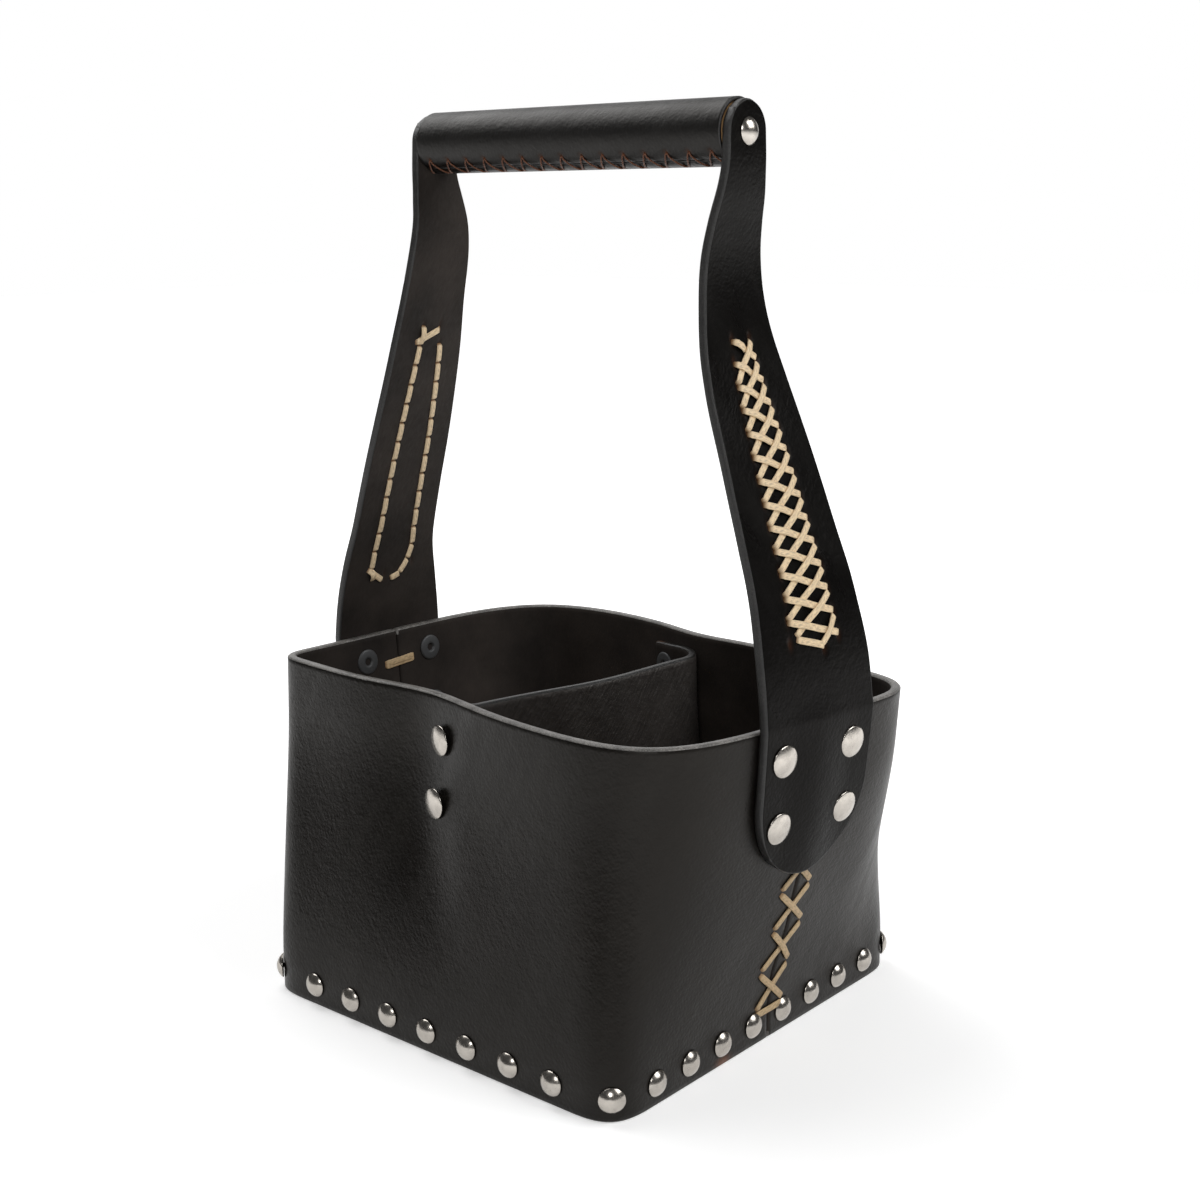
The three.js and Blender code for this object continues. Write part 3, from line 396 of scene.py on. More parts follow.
def corner_curve(before, corner, after):
    """Points of the soft round between two sides that meet at a corner."""
    point, radius = np.array(corner[:2]), corner[2]
    back, ahead = unit(np.array(before[:2]) - point), unit(np.array(after[:2]) - point)
    reach = CORNER_REACH * radius / math.tan(math.acos(back @ ahead) / 2)
    controls = [point + back * reach * pull for pull in CORNER_PULLS]
    controls += [point + ahead * reach * pull for pull in reversed(CORNER_PULLS)]
    degree = len(controls) - 1
    share = np.linspace(0, 1, ARC_STEPS + 1)[:, None]
    return sum(math.comb(degree, k) * share ** k * (1 - share) ** (degree - k) * control
               for k, control in enumerate(controls))


def half_outline(corners, pinch, creased):
    """Half of an outline, clockwise from one seam to the other, round the middle two corners.

    A creased one keeps a quarter of its points for the side after the second corner.
    """
    before, first, second, after = corners

    def seam(start, end):
        share = start[1] / (start[1] - end[1])
        return np.array([mix(start[0], end[0], share), 0.0])

    points = np.vstack([seam(before, first), corner_curve(before, first, second),
                        corner_curve(first, second, after), seam(second, after)])
    points = even_points(points, OUTLINE_STEPS + 1)
    place, depth, spread = pinch
    inward = -np.sign(first[1])
    points[:, 1] += inward * depth * np.exp(-(((points[:, 0] - place) / spread) ** 2))
    if not creased:
        return even_points(points, OUTLINE_STEPS + 1)
    crease = np.argmin(np.linalg.norm(points - np.array(second[:2]), axis=1))
    steps = OUTLINE_STEPS * 3 // 4
    return np.vstack([even_points(points[:crease + 1], steps + 1),
                      even_points(points[crease:], OUTLINE_STEPS - steps + 1)[1:]])


class EvenTable:
    """Values on an even grid of places across and up, read between them."""

    def __init__(self, values, across, up):
        self.values, self.across, self.up = values, across, up

    def read(self, y, z):
        rows, columns = self.values.shape
        row = np.clip((z - self.up[0]) / (self.up[1] - self.up[0]), 0, rows - LAST_CELL)
        column = np.clip((y - self.across[0]) / (self.across[1] - self.across[0]), 0, columns - LAST_CELL)
        r, c = np.floor(row).astype(int), np.floor(column).astype(int)
        below = mix(self.values[r, c], self.values[r, c + 1], column - c)
        above = mix(self.values[r + 1, c], self.values[r + 1, c + 1], column - c)
        return mix(below, above, row - r)


def surface_frames(surface, side, y, z):
    """Points and outward normals of a surface that gives x at places across and up."""
    reach = SLOPE_REACH
    slope_y = (surface(y + reach, z) - surface(y - reach, z)) / (2 * reach)
    slope_z = (surface(y, z + reach) - surface(y, z - reach)) / (2 * reach)
    normals = unit(np.stack([np.ones_like(y), -slope_y, -slope_z], axis=-1)) * side
    return np.stack([surface(y, z), y, z], axis=-1), normals


class WallShape:
    """Outer face of the basket: the square base outline, eased into the rim outline with height."""

    def __init__(self, basket):
        self.basket = basket
        x, y, corner = basket.length / 2, basket.depth / 2, basket.corner
        base = {"front_left": (-x, -y, corner), "front_right": (x, -y, corner),
                "rear_right": (x, y, corner), "rear_left": (-x, y, corner)}
        orders = {"front": ("rear_right", "front_right", "front_left", "rear_left"),
                  "rear": ("front_left", "rear_left", "rear_right", "front_right")}
        pinches = {"front": FRONT_PINCH, "rear": REAR_PINCH}
        self.lines = {half: (half_outline([base[name] for name in order], NO_PINCH, half == "front"),
                             half_outline([RIM_CORNERS[name] for name in order], pinches[half],
                                          half == "front"))
                      for half, order in orders.items()}
        self.sides = {side: self.side_table(side) for side in (-1, 1)}

    def line(self, half, z, depth=0.0):
        """Half of the outline at a height, moved inwards by a depth."""
        base, rim = self.lines[half]
        board, top = self.basket.board, self.basket.rim
        straight = np.clip((z - board) / (top - board), 0, 1)
        line = mix(base, rim, (straight + smooth_step(z, board, EASE_TOP)) / 2)
        if half == "front":
            place, slope, spread = FRONT_FOLD
            across = (line[:, 0] - place - FOLD_SLANT * max(FOLD_BEND - z, 0.0)) / spread
            rise = smooth_step(z, *FOLD_RISE) * (1 - FOLD_LOSS * smooth_step(z, FOLD_FADE, RIM_TOP))
            line[:, 1] -= slope * spread * across * np.exp(-across * across) * rise
        ahead = unit(np.gradient(line, axis=0))
        return line + np.stack([ahead[:, 1], -ahead[:, 0]], axis=1) * depth

    def side_table(self, side):
        """Outer face of the left or right wall, as x at places across and up."""
        step_across, step_up = SIDE_STEPS
        across = np.arange(-SIDE_REACH, SIDE_REACH + step_across / 2, step_across)
        up = np.arange(0, self.basket.rim + step_up / 2, step_up)
        quarter = OUTLINE_STEPS // 4
        rows = []
        for z in up:
            front, rear = self.line("front", z), self.line("rear", z)
            near = [front[:quarter], rear[-quarter:]] if side > 0 else [front[-quarter:], rear[:quarter]]
            points = np.vstack(near)
            points = points[np.argsort(points[:, 1])]
            rows.append(np.interp(across, points[:, 1], points[:, 0]))
        return EvenTable(np.array(rows), across, up)

    def side_x(self, side, y, z):
        return self.sides[side].read(y, z)

    def seam_shift(self, side, z):
        """How far to the rear a seam lies at a height."""
        shift = SEAM_SHIFT if side > 0 else 0.0
        start, full, fade, end = SEAM_SHIFT_SPAN
        return shift * smooth_step(z, start, full) * (1 - smooth_step(z, fade, end))

    def side_frames(self, side, y, z, depth=0.0):
        """Points and outward normals of a side wall, moved inwards by a depth."""
        points, normals = surface_frames(partial(self.side_x, side), side, y, z)
        return points - normals * depth, normals

    def end_y(self, half, x, z, depth=0.0):
        """Place of the front or rear wall at x and a height, moved inwards by a depth."""
        line = self.line(half, z, depth)
        order = np.argsort(line[:, 0])
        return np.interp(x, line[order, 0], line[order, 1])

    def end_frame(self, half, x, z):
        """Point and outward normal of the front or rear wall at one place."""
        before, y, after = self.end_y(half, [x - SLOPE_REACH, x, x + SLOPE_REACH], z)
        outward = dict(ENDS)[half]
        normal = unit(np.array([-(after - before) / (2 * SLOPE_REACH), 1.0, 0.0]) * outward)
        return np.array([x, y, z]), normal


class StrapShape:
    """One strap arm: its foot lies on the wall, and it leans in to the end of the grip."""

    def __init__(self, walls, bag, side):
        self.walls, self.side, self.strap, self.grip = walls, side, bag.strap, bag.grip
        self.rim = bag.basket.rim
        self.foot, self.head = bag.strap.foot_width / 2, bag.strap.head_width / 2
        self.foot_top = bag.strap.tip + bag.strap.foot_round
        first, pitch = SEAM_LEVELS[side]
        self.seam_top = first + (bag.lace.seam_levels - 1) * pitch + PAD_TOP
        self.lean, self.taper = smooth_table(STRAP_LEAN[side]), smooth_table(STRAP_TAPER)

    def climb(self, z):
        return np.clip((z - self.rim) / (self.grip.height - self.rim), 0.0, 1.0)

    def half_width(self, z):
        return mix(self.head, self.foot, self.taper(self.climb(z)))

    def back(self, y, z):
        """Inner face, as x."""
        share = self.climb(z)
        rise, inner, outer = STRAP_PAD
        ridge = 1 - smooth_step(np.abs(y), inner, outer)
        pad = rise * ridge * (1 - smooth_step(z, self.seam_top, self.seam_top + PAD_FADE))
        foot = self.walls.side_x(self.side, y, z) + self.side * (FIT + pad)
        middle = self.walls.side_x(self.side, np.zeros_like(y), z) + self.side * FIT
        head = self.side * (self.grip.length / 2 + FIT)
        start, full, fade, end = STRAP_TOE_SPAN
        toe = STRAP_TOE * smooth_step(share, start, full) * (1 - smooth_step(share, fade, end))
        loose = mix(foot, middle, smooth_step(share, 0, STRAP_LOOSE))
        return loose + (head - middle) * self.lean(share) + self.side * toe * y

    def lean_normals(self, z):
        reach, middle = SLOPE_REACH, np.zeros_like(z)
        slope = (self.back(middle, z + reach) - self.back(middle, z - reach)) / (2 * reach)
        return unit(np.stack([np.ones_like(z), middle, -slope], axis=-1)) * self.side

    def face(self, y, z, inside):
        """Points and outward normals of the grain face, or of the inner face."""
        normals = self.lean_normals(z)
        points = np.stack([self.back(y, z), y, z], axis=-1)
        if inside:
            return points, -normals
        return points + normals * self.strap.leather, normals

    def outline_grid(self, columns, rows, inset):
        """Places across and up that fill the strap's outline, between its round foot and round head."""
        foot, head, drop = self.foot - inset, self.head - inset, self.strap.foot_round - inset

        def foot_arc(turns):
            return np.stack([foot * np.sin(turns), self.foot_top - drop * np.cos(turns)], axis=1)

        def head_arc(turns):
            return np.stack([head * np.sin(turns), self.grip.height + head * np.cos(turns)], axis=1)

        corner = np.linspace(math.pi / 4, math.pi / 2, STRAP_ARC_POINTS)
        straight = np.linspace(self.foot_top, self.grip.height, STRAP_EDGE_POINTS)[1:-1]
        edge = np.vstack([foot_arc(corner), np.stack([self.half_width(straight) - inset, straight], axis=1),
                          head_arc(corner)[::-1]])
        right = even_points(edge, rows + 1)[:, None, :]
        left = right * np.array([-1, 1])
        turns = np.linspace(-math.pi / 4, math.pi / 4, columns + 1)
        bottom, top = foot_arc(turns)[None], head_arc(turns)[None]
        u, v = np.linspace(0, 1, columns + 1)[None, :, None], np.linspace(0, 1, rows + 1)[:, None, None]
        corners = mix(mix(bottom[:, :1], bottom[:, -1:], u), mix(top[:, :1], top[:, -1:], u), v)
        return mix(bottom, top, v) + mix(left, right, u) - corners


# Meshes


def add_piece(name, bm, materials):
    """An object for a finished bmesh, at the origin."""
    mesh = bpy.data.meshes.new(name)
    bm.to_mesh(mesh)
    bm.free()
    for material in materials:
        mesh.materials.append(material)
    mesh.shade_smooth()
    piece = bpy.data.objects.new(name, mesh)
    bpy.context.scene.collection.objects.link(piece)
    return piece


def dress(piece, body, slot, *nodes):
    """The piece stands for the nodes and moves with the body. The slot is not used."""
    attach(piece, body)
    if nodes:
        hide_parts(*nodes)


def dress_strap(piece, node):
    """The piece stands for the node and bends from the basket to the handle."""
    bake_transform(piece, "basket", "handle", BLEND_START, BLEND_END)
    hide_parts(node)


def edge_directions(grid):
    """Direction outwards from a grid of points at each point of its border."""
    outward = np.zeros_like(grid)
    outward[0] += unit(grid[0] - grid[1])
    outward[-1] += unit(grid[-1] - grid[-2])
    outward[:, 0] += unit(grid[:, 0] - grid[:, 1])
    outward[:, -1] += unit(grid[:, -1] - grid[:, -2])
    lengths = np.linalg.norm(outward, axis=-1, keepdims=True)
    return outward / np.where(lengths > 0, lengths, 1)


def sheet_mesh(outer, inner, places, bulge, marks=None):
    """A closed leather sheet between two grids of points: grain side, flesh side and rounded cut edge.

    Places are its map in metres, and marks are values at the points of both faces.
    """
    rows, columns = outer.shape[0] - 1, outer.shape[1] - 1
    bm = bmesh.new()
    bmesh.ops.create_grid(bm, x_segments=columns, y_segments=rows, size=0.5)
    row_of, column_of, depth_of = (bm.verts.layers.float.new(name) for name in ("row", "column", "depth"))
    for index, vert in enumerate(bm.verts):
        vert[row_of], vert[column_of] = divmod(index, columns + 1)
    extruded = bmesh.ops.extrude_face_region(bm, geom=bm.faces[:])
    for vert in extruded["geom"]:
        if isinstance(vert, bmesh.types.BMVert):
            vert[depth_of] = 1.0
    walls = [edge for edge in bm.edges if edge.verts[0][depth_of] != edge.verts[1][depth_of]]
    bmesh.ops.subdivide_edges(bm, edges=walls, cuts=EDGE_CUTS, use_grid_fill=True)
    mark_layers = {name: bm.verts.layers.float.new(name) for name in marks or {}}
    outward = edge_directions((outer + inner) / 2)
    for vert in bm.verts:
        spot, depth = (round(vert[row_of]), round(vert[column_of])), vert[depth_of]
        push = bulge * (1 - abs(2 * depth - 1) ** EDGE_POWER) ** (1 / EDGE_POWER)
        vert.co = mix(outer[spot], inner[spot], depth) + outward[spot] * push
        for name, layer in mark_layers.items():
            vert[layer] = mix(marks[name][0][spot], marks[name][1][spot], depth)
    bmesh.ops.recalc_face_normals(bm, faces=bm.faces[:])
    grain = bm.loops.layers.uv.new("grain")
    for face in bm.faces:
        depths = {vert[depth_of] for vert in face.verts}
        face.material_index = (GRAIN_SIDE if depths == {0.0} else FLESH_SIDE if depths == {1.0}
                               else CUT_EDGE)
        for loop in face.loops:
            loop[grain].uv = places[round(loop.vert[row_of]), round(loop.vert[column_of])]
    for layer_name in ("row", "column", "depth"):
        bm.verts.layers.float.remove(bm.verts.layers.float[layer_name])
    return bm


def lace_mesh():
    """An empty bmesh for strands, with their folds and their map."""
    bm = bmesh.new()
    bm.verts.layers.float.new("fold")
    bm.loops.layers.uv.new("grain")
    return bm


def add_lace(name, bm, material):
    """An object for finished strands, with their faces outwards."""
    bmesh.ops.recalc_face_normals(bm, faces=bm.faces[:])
    return add_piece(name, bm, [material])


def lay_strand(bm, points, normals, widths, thickness, folds, squareness=4.0, sides=12):
    """One closed strand along points, flat on the normals, darkened by its folds."""
    fold, grain = bm.verts.layers.float["fold"], bm.loops.layers.uv["grain"]
    ahead = unit(np.gradient(points, axis=0))
    thick = unit(normals - ahead * np.sum(normals * ahead, axis=1, keepdims=True))
    wide = np.cross(thick, ahead)
    turns = np.linspace(0, 2 * math.pi, sides + 1)
    across = np.sign(np.cos(turns)) * np.abs(np.cos(turns)) ** (2 / squareness) / 2
    over = np.sign(np.sin(turns)) * np.abs(np.sin(turns)) ** (2 / squareness) / 2
    lengths = run_lengths(points)
    made = bmesh.ops.create_grid(bm, x_segments=sides, y_segments=len(points) - 1, size=0.5)
    verts = made["verts"]
    spots = {vert: divmod(index, sides + 1) for index, vert in enumerate(verts)}
    for vert, (step, turn) in spots.items():
        vert.co = (points[step] + wide[step] * widths[step] * across[turn]
                   + thick[step] * thickness * over[turn])
        vert[fold] = folds[step]
    faces = {face for vert in verts for face in vert.link_faces}
    for face in faces:
        for loop in face.loops:
            step, turn = spots[loop.vert]
            loop[grain].uv = (widths[step] * turns[turn] / math.pi, lengths[step])
    seam = {verts[step * (sides + 1) + sides]: verts[step * (sides + 1)] for step in range(len(points))}
    bmesh.ops.weld_verts(bm, targetmap=seam)
    ends = [edge for face in faces for edge in face.edges if edge.is_boundary]
    bmesh.ops.holes_fill(bm, edges=list(set(ends)), sides=0)


def strand_line(face, start, end, heights, steps=STRAND_STEPS):
    """Points and normals from one place to another over a face, at heights read from pairs."""
    share = np.linspace(0, 1, steps)
    points, normals = face(mix(start[0], end[0], share), mix(start[1], end[1], share))
    places, lifts = zip(*heights)
    return points + normals * np.interp(share, places, lifts)[:, None], normals


def lay_lace(bm, lace, line, dive, neck, fold):
    """One strand of lace along points and normals, narrow and brown where it turns into its slits.

    Places are counted in dives from the nearer end. The neck is the share of the width at the ends, and
    where it starts to widen and is full. The fold is where the brown starts to fade and has gone.
    """
    points, normals = line
    share = np.linspace(0, 1, len(points))
    near = np.minimum(share, 1 - share) / dive
    narrow, start, full = neck
    widths = lace.width * mix(narrow, 1.0, smooth_step(near, start, full))
    lay_strand(bm, points, normals, widths, lace.thickness, 1 - smooth_step(near, *fold))


def turned_mesh(profile, steps):
    """A closed round from radius and height pairs, turned about Z."""
    bm = bmesh.new()
    verts = [bm.verts.new((radius, 0.0, height)) for radius, height in profile]
    edges = [bm.edges.new(pair) for pair in zip(verts, verts[1:])]
    bmesh.ops.spin(bm, geom=verts + edges, cent=(0, 0, 0), axis=(0, 0, 1), angle=2 * math.pi, steps=steps,
                   use_merge=True)
    bmesh.ops.remove_doubles(bm, verts=bm.verts[:], dist=1e-6)
    bmesh.ops.recalc_face_normals(bm, faces=bm.faces[:])
    return bm


def place_on(bm, point, normal):
    """Moves a round so that its axis stands on a point along a normal."""
    turn = Vector(normal).to_track_quat("Z", "Y").to_matrix().to_4x4()
    bmesh.ops.transform(bm, matrix=Matrix.Translation(Vector(point)) @ turn, verts=bm.verts[:])


def dome_profile(radius, rise, lip, base):
    """Side of a domed head from its top to its rolled rim."""
    ball = (radius * radius + rise * rise) / (2 * rise)
    turns = np.linspace(0, math.asin(min(radius / ball, 1.0)), DOME_STEPS)
    cap = [(ball * math.sin(turn), base + lip + rise - ball * (1 - math.cos(turn))) for turn in turns]
    return cap + [(radius + lip / 4, base + lip / 2), (radius, base), (radius - lip, base)]


# Materials


def set_sockets(tree, node, sockets):
    """Sets a node's inputs, or links them to the outputs of other nodes."""
    for name, value in sockets.items():
        if isinstance(value, bpy.types.NodeSocket):
            tree.links.new(value, node.inputs[name])
        else:
            node.inputs[name].default_value = value


def add_node(tree, kind, sockets=None, **settings):
    """A node with its settings, and its inputs set or linked."""
    node = tree.nodes.new(kind)
    for name, value in settings.items():
        setattr(node, name, value)
    set_sockets(tree, node, sockets or {})
    return node


def new_material(name):
    """A material, its tree and its shader."""
    material = bpy.data.materials.new(name)
    material.use_nodes = True
    return material, material.node_tree, material.node_tree.nodes["Principled BSDF"]


def grain_map(tree, scale=(1, 1, 1), turn=0.0):
    """The piece's own map in metres, turned and then stretched."""
    source = add_node(tree, "ShaderNodeUVMap", uv_map="grain")
    turned = add_node(tree, "ShaderNodeMapping", {"Vector": source.outputs["UV"], "Rotation": (0, 0, turn)})
    return add_node(tree, "ShaderNodeMapping", {"Vector": turned.outputs[0], "Scale": scale}).outputs[0]


def object_map(tree, scale=(1, 1, 1)):
    """Places in the piece in metres, stretched."""
    source = add_node(tree, "ShaderNodeTexCoord")
    return add_node(tree, "ShaderNodeMapping",
                    {"Vector": source.outputs["Object"], "Scale": scale}).outputs[0]


def noise(tree, vector, scale=1.0, detail=3.0, roughness=0.55):
    return add_node(tree, "ShaderNodeTexNoise", {"Vector": vector, "Scale": scale, "Detail": detail,
                                                 "Roughness": roughness}).outputs["Fac"]


def mark(tree, name):
    """Values that the piece's points carry under a name."""
    return add_node(tree, "ShaderNodeAttribute", attribute_name=name).outputs["Fac"]


def opaque(colour):
    """A plain colour with its alpha. A linked one stays as it is."""
    return (*colour, 1.0) if isinstance(colour, tuple) else colour


def shaded(colour, factor):
    return tuple(min(channel * factor, 1.0) for channel in colour)


def ramp(tree, value, stops):
    """Colours or greys read by a value."""
    node = add_node(tree, "ShaderNodeValToRGB", {"Fac": value})
    elements = node.color_ramp.elements
    while len(elements) < len(stops):
        elements.new(0.5)
    for element, (place, colour) in zip(elements, stops):
        element.position = place
        element.color = opaque(colour if isinstance(colour, tuple) else (colour, colour, colour))
    return node.outputs["Color"]


def mix_colours(tree, share, first, second):
    """One colour over another. A mix node has its colours at inputs 6 and 7, and the mix at output 2."""
    sockets = {"Factor": share, 6: opaque(first), 7: opaque(second)}
    return add_node(tree, "ShaderNodeMix", sockets, data_type="RGBA").outputs[2]


def bump(tree, height, strength, distance, normal=None):
    """A surface raised by a height, over another such surface where one is given."""
    sockets = {"Height": height, "Strength": strength, "Distance": distance}
    if normal is not None:
        sockets["Normal"] = normal
    return add_node(tree, "ShaderNodeBump", sockets).outputs["Normal"]


def larger(tree, first, second):
    """The larger of two values."""
    return add_node(tree, "ShaderNodeMath", {0: first, 1: second}, operation="MAXIMUM").outputs[0]


def grain_leather(name, colour, raw, roughness, shine, wrinkles):
    """Dyed leather: fine pebbles, stretch lines, uneven polish, and raw leather where it is marked."""
    material, tree, shader = new_material(name)
    flat = grain_map(tree)
    pebbles = add_node(tree, "ShaderNodeTexVoronoi", {"Vector": flat, "Scale": 900.0, "Randomness": 1.0},
                       feature="SMOOTH_F1").outputs["Distance"]
    pores = noise(tree, flat, scale=2600.0, detail=2.0)
    patches = noise(tree, flat, scale=22.0, detail=4.0)
    lines = noise(tree, grain_map(tree, (420, 60, 1), turn=0.7), detail=5.0, roughness=0.62)
    scuffs = noise(tree, grain_map(tree, (90, 16, 1), turn=-0.5), detail=4.0, roughness=0.65)
    creases = noise(tree, grain_map(tree, (130, 210, 1), turn=0.35), detail=6.0, roughness=0.62)
    tint = ramp(tree, patches, ((0.3, shaded(colour, 0.7)), (0.55, colour), (0.8, shaded(colour, 1.5))))
    rubbed = mix_colours(tree, ramp(tree, scuffs, ((0.58, 0.0), (0.82, 0.35))), tint, shaded(colour, 2.2))
    normal = bump(tree, creases, strength=0.10 + 0.35 * wrinkles, distance=0.0012)
    normal = bump(tree, lines, strength=wrinkles, distance=0.0006, normal=normal)
    normal = bump(tree, pebbles, strength=0.35, distance=0.00025, normal=normal)
    set_sockets(tree, shader, {
        "Base Color": mix_colours(tree, mark(tree, "raw"), rubbed, raw),
        "Roughness": ramp(tree, scuffs, ((0.25, roughness - 0.08), (0.75, roughness + 0.10))),
        "Normal": bump(tree, pores, strength=0.18, distance=0.00012, normal=normal),
        "Specular IOR Level": shine,
        "Specular Tint": WARM_SHEEN,
    })
    return material


def flesh_leather(name, colour, raw):
    """Dull, fibrous inside of a leather."""
    material, tree, shader = new_material(name)
    fibres = noise(tree, grain_map(tree, (700, 260, 1), turn=0.4), detail=5.0, roughness=0.7)
    patches = noise(tree, grain_map(tree), scale=30.0, detail=4.0)
    tint = ramp(tree, patches, ((0.3, shaded(colour, 0.6)), (0.75, shaded(colour, 1.6))))
    set_sockets(tree, shader, {
        "Base Color": mix_colours(tree, mark(tree, "raw"), tint, raw),
        "Roughness": ramp(tree, fibres, ((0.3, 0.62), (0.7, 0.85))),
        "Normal": bump(tree, fibres, strength=0.45, distance=0.0004),
        "Specular IOR Level": 0.2,
    })
    return material


def cut_leather(name, colour, raw):
    """Pale fibres of a cut edge, with dye that has soaked in. With the light rim colour, the lightness is a
    painted highlight along the rim.
    """
    material, tree, shader = new_material(name)
    place = object_map(tree)
    fibres = noise(tree, place, scale=1500.0, detail=4.0, roughness=0.7)
    patches = noise(tree, place, scale=120.0, detail=4.0)
    tint = ramp(tree, fibres, ((0.35, shaded(colour, 0.22)), (0.6, colour), (0.85, shaded(colour, 1.7))))
    soaked = mix_colours(tree, ramp(tree, patches, ((0.4, 0.15), (0.7, 0.8))), tint, shaded(colour, 0.18))
    set_sockets(tree, shader, {
        "Base Color": mix_colours(tree, mark(tree, "raw"), soaked, raw),
        "Normal": bump(tree, fibres, strength=0.6, distance=0.0004),
        "Roughness": 0.36,
        "Specular IOR Level": 0.5,
    })
    return material


def lace_leather(name, colour, fold):
    """Waxed lace: streaks along it, worn patches, and brown where it folds."""
    material, tree, shader = new_material(name)
    streaks = noise(tree, grain_map(tree, (2600, 420, 1)), detail=4.0, roughness=0.65)
    patches = noise(tree, grain_map(tree, (140, 140, 1)))
    tint = ramp(tree, streaks, ((0.3, shaded(colour, 0.5)), (0.5, colour), (0.72, shaded(colour, 1.25))))
    worn = mix_colours(tree, ramp(tree, patches, ((0.5, 0.0), (0.85, 0.5))), tint, shaded(colour, 0.6))
    set_sockets(tree, shader, {
        "Base Color": mix_colours(tree, mark(tree, "fold"), worn, fold),
        "Normal": bump(tree, streaks, strength=0.5, distance=0.0003),
        "Roughness": 0.55,
    })
    return material


def plated_metal(name, colour, roughness, bare):
    """Plated heads with a slightly uneven polish."""
    material, tree, shader = new_material(name)
    place = object_map(tree)
    wear = noise(tree, place, scale=260.0, detail=4.0)
    dents = noise(tree, place, scale=420.0, detail=2.0)
    set_sockets(tree, shader, {
        "Base Color": ramp(tree, wear, ((0.3, shaded(colour, 0.82)), (0.65, colour))),
        "Roughness": ramp(tree, wear, ((0.3, roughness + 0.12), (0.7, roughness))),
        "Normal": bump(tree, dents, strength=0.12, distance=0.0004),
        "Metallic": bare,
    })
    return material


def plain_wood(name, colour):
    """Sawn wood with its grain along X."""
    material, tree, shader = new_material(name)
    rings = noise(tree, object_map(tree, (3, 90, 60)), detail=5.0, roughness=0.6)
    fibres = noise(tree, object_map(tree, (40, 1400, 1400)))
    tint = ramp(tree, rings, ((0.3, shaded(colour, 0.6)), (0.5, colour), (0.75, shaded(colour, 1.35))))
    set_sockets(tree, shader, {
        "Base Color": tint,
        "Normal": bump(tree, fibres, strength=0.3, distance=0.0003),
        "Roughness": 0.62,
    })
    return material


def twisted_thread(name, colour):
    """Waxed thread with its twist showing."""
    material, tree, shader = new_material(name)
    place = grain_map(tree, (1400, 2600, 1), turn=0.6)
    twist = add_node(tree, "ShaderNodeTexWave",
                     {"Vector": place, "Scale": 0.35, "Distortion": 1.0}).outputs["Fac"]
    set_sockets(tree, shader, {
        "Base Color": ramp(tree, twist, ((0.2, shaded(colour, 0.5)), (0.7, colour))),
        "Normal": bump(tree, twist, strength=0.5, distance=0.0002),
        "Roughness": 0.5,
    })
    return material


def leather_set(kind, finish, edge):
    """Grain, flesh and cut edge of one leather, in the order of a sheet's materials."""
    name, raw = f"{kind.capitalize()} leather", tuple(finish.raw)
    return [grain_leather(f"{name} grain", tuple(getattr(finish, kind)), raw, *POLISH[kind]),
            flesh_leather(f"{name} flesh", tuple(finish.flesh), raw),
            cut_leather(f"{name} cut edge", tuple(edge), raw)]


def nickel(finish):
    """The metal of all heads, made once."""
    made = bpy.data.materials.get("Nickel")
    return made or plated_metal("Nickel", tuple(finish.nickel), roughness=0.18, bare=1.0)


# Places shared by pieces


def tack_spots(bag):
    """Node, point and normal of each tack in the foot."""
    x, y, z = bag.basket.length / 2, bag.basket.depth / 2, bag.fastener.tack_height
    corner = bag.basket.corner
    spots = []
    count, inset = END_TACKS
    for end, sign in ENDS:
        for k, along in enumerate(np.linspace(inset - x, x - inset, count)):
            spots.append((f"{end}_tack_{k + 1}", (along, sign * y, z), (0, sign, 0)))
    count, inset = SIDE_TACKS
    for side, sign in SIDES:
        for k, along in enumerate(np.linspace(inset - y, y - inset, count)):
            spots.append((f"{side}_tack_{k + 1}", (sign * x, along, z), (sign, 0, 0)))
    for end, end_sign in ENDS:
        for side, side_sign in SIDES:
            normal = unit(np.array([side_sign, end_sign, 0.0]))
            middle = np.array([side_sign * (x - corner), end_sign * (y - corner), z])
            spots.append((f"corner_tack_{end}_{side}", tuple(middle + normal * corner), tuple(normal)))
    return spots


def strap_slit(strap, lace, column, row):
    """Place across and up of a slit in the front (-1) or rear (1) column of a strap."""
    z = lace.top - row * lace.pitch
    return column * (float(strap.half_width(np.array(z))) - lace.inset), z


def last_slit(side):
    """Place across and up of the single slit at the end of a strap's lacing."""
    across, up = LAST_SLIT
    return across * side, up


def crossing_share(first, second):
    """Share of the way along one strand at which another crosses it."""
    (y0, z0), (y1, z1) = first
    (y2, z2), (y3, z3) = second
    cross = (y1 - y0) * (z3 - z2) - (z1 - z0) * (y3 - y2)
    return ((y2 - y0) * (z3 - z2) - (z2 - z0) * (y3 - y2)) / cross


def soft_waves(across, up):
    """Slow unevenness of worked leather, from 0 to 1."""
    wave = sum(strength * np.sin(turns_across * across + turns_up * up + start)
               for strength, turns_across, turns_up, start in WAVES)
    return np.clip(0.5 + wave / WAVE_SPAN, 0, 1)


# Pieces


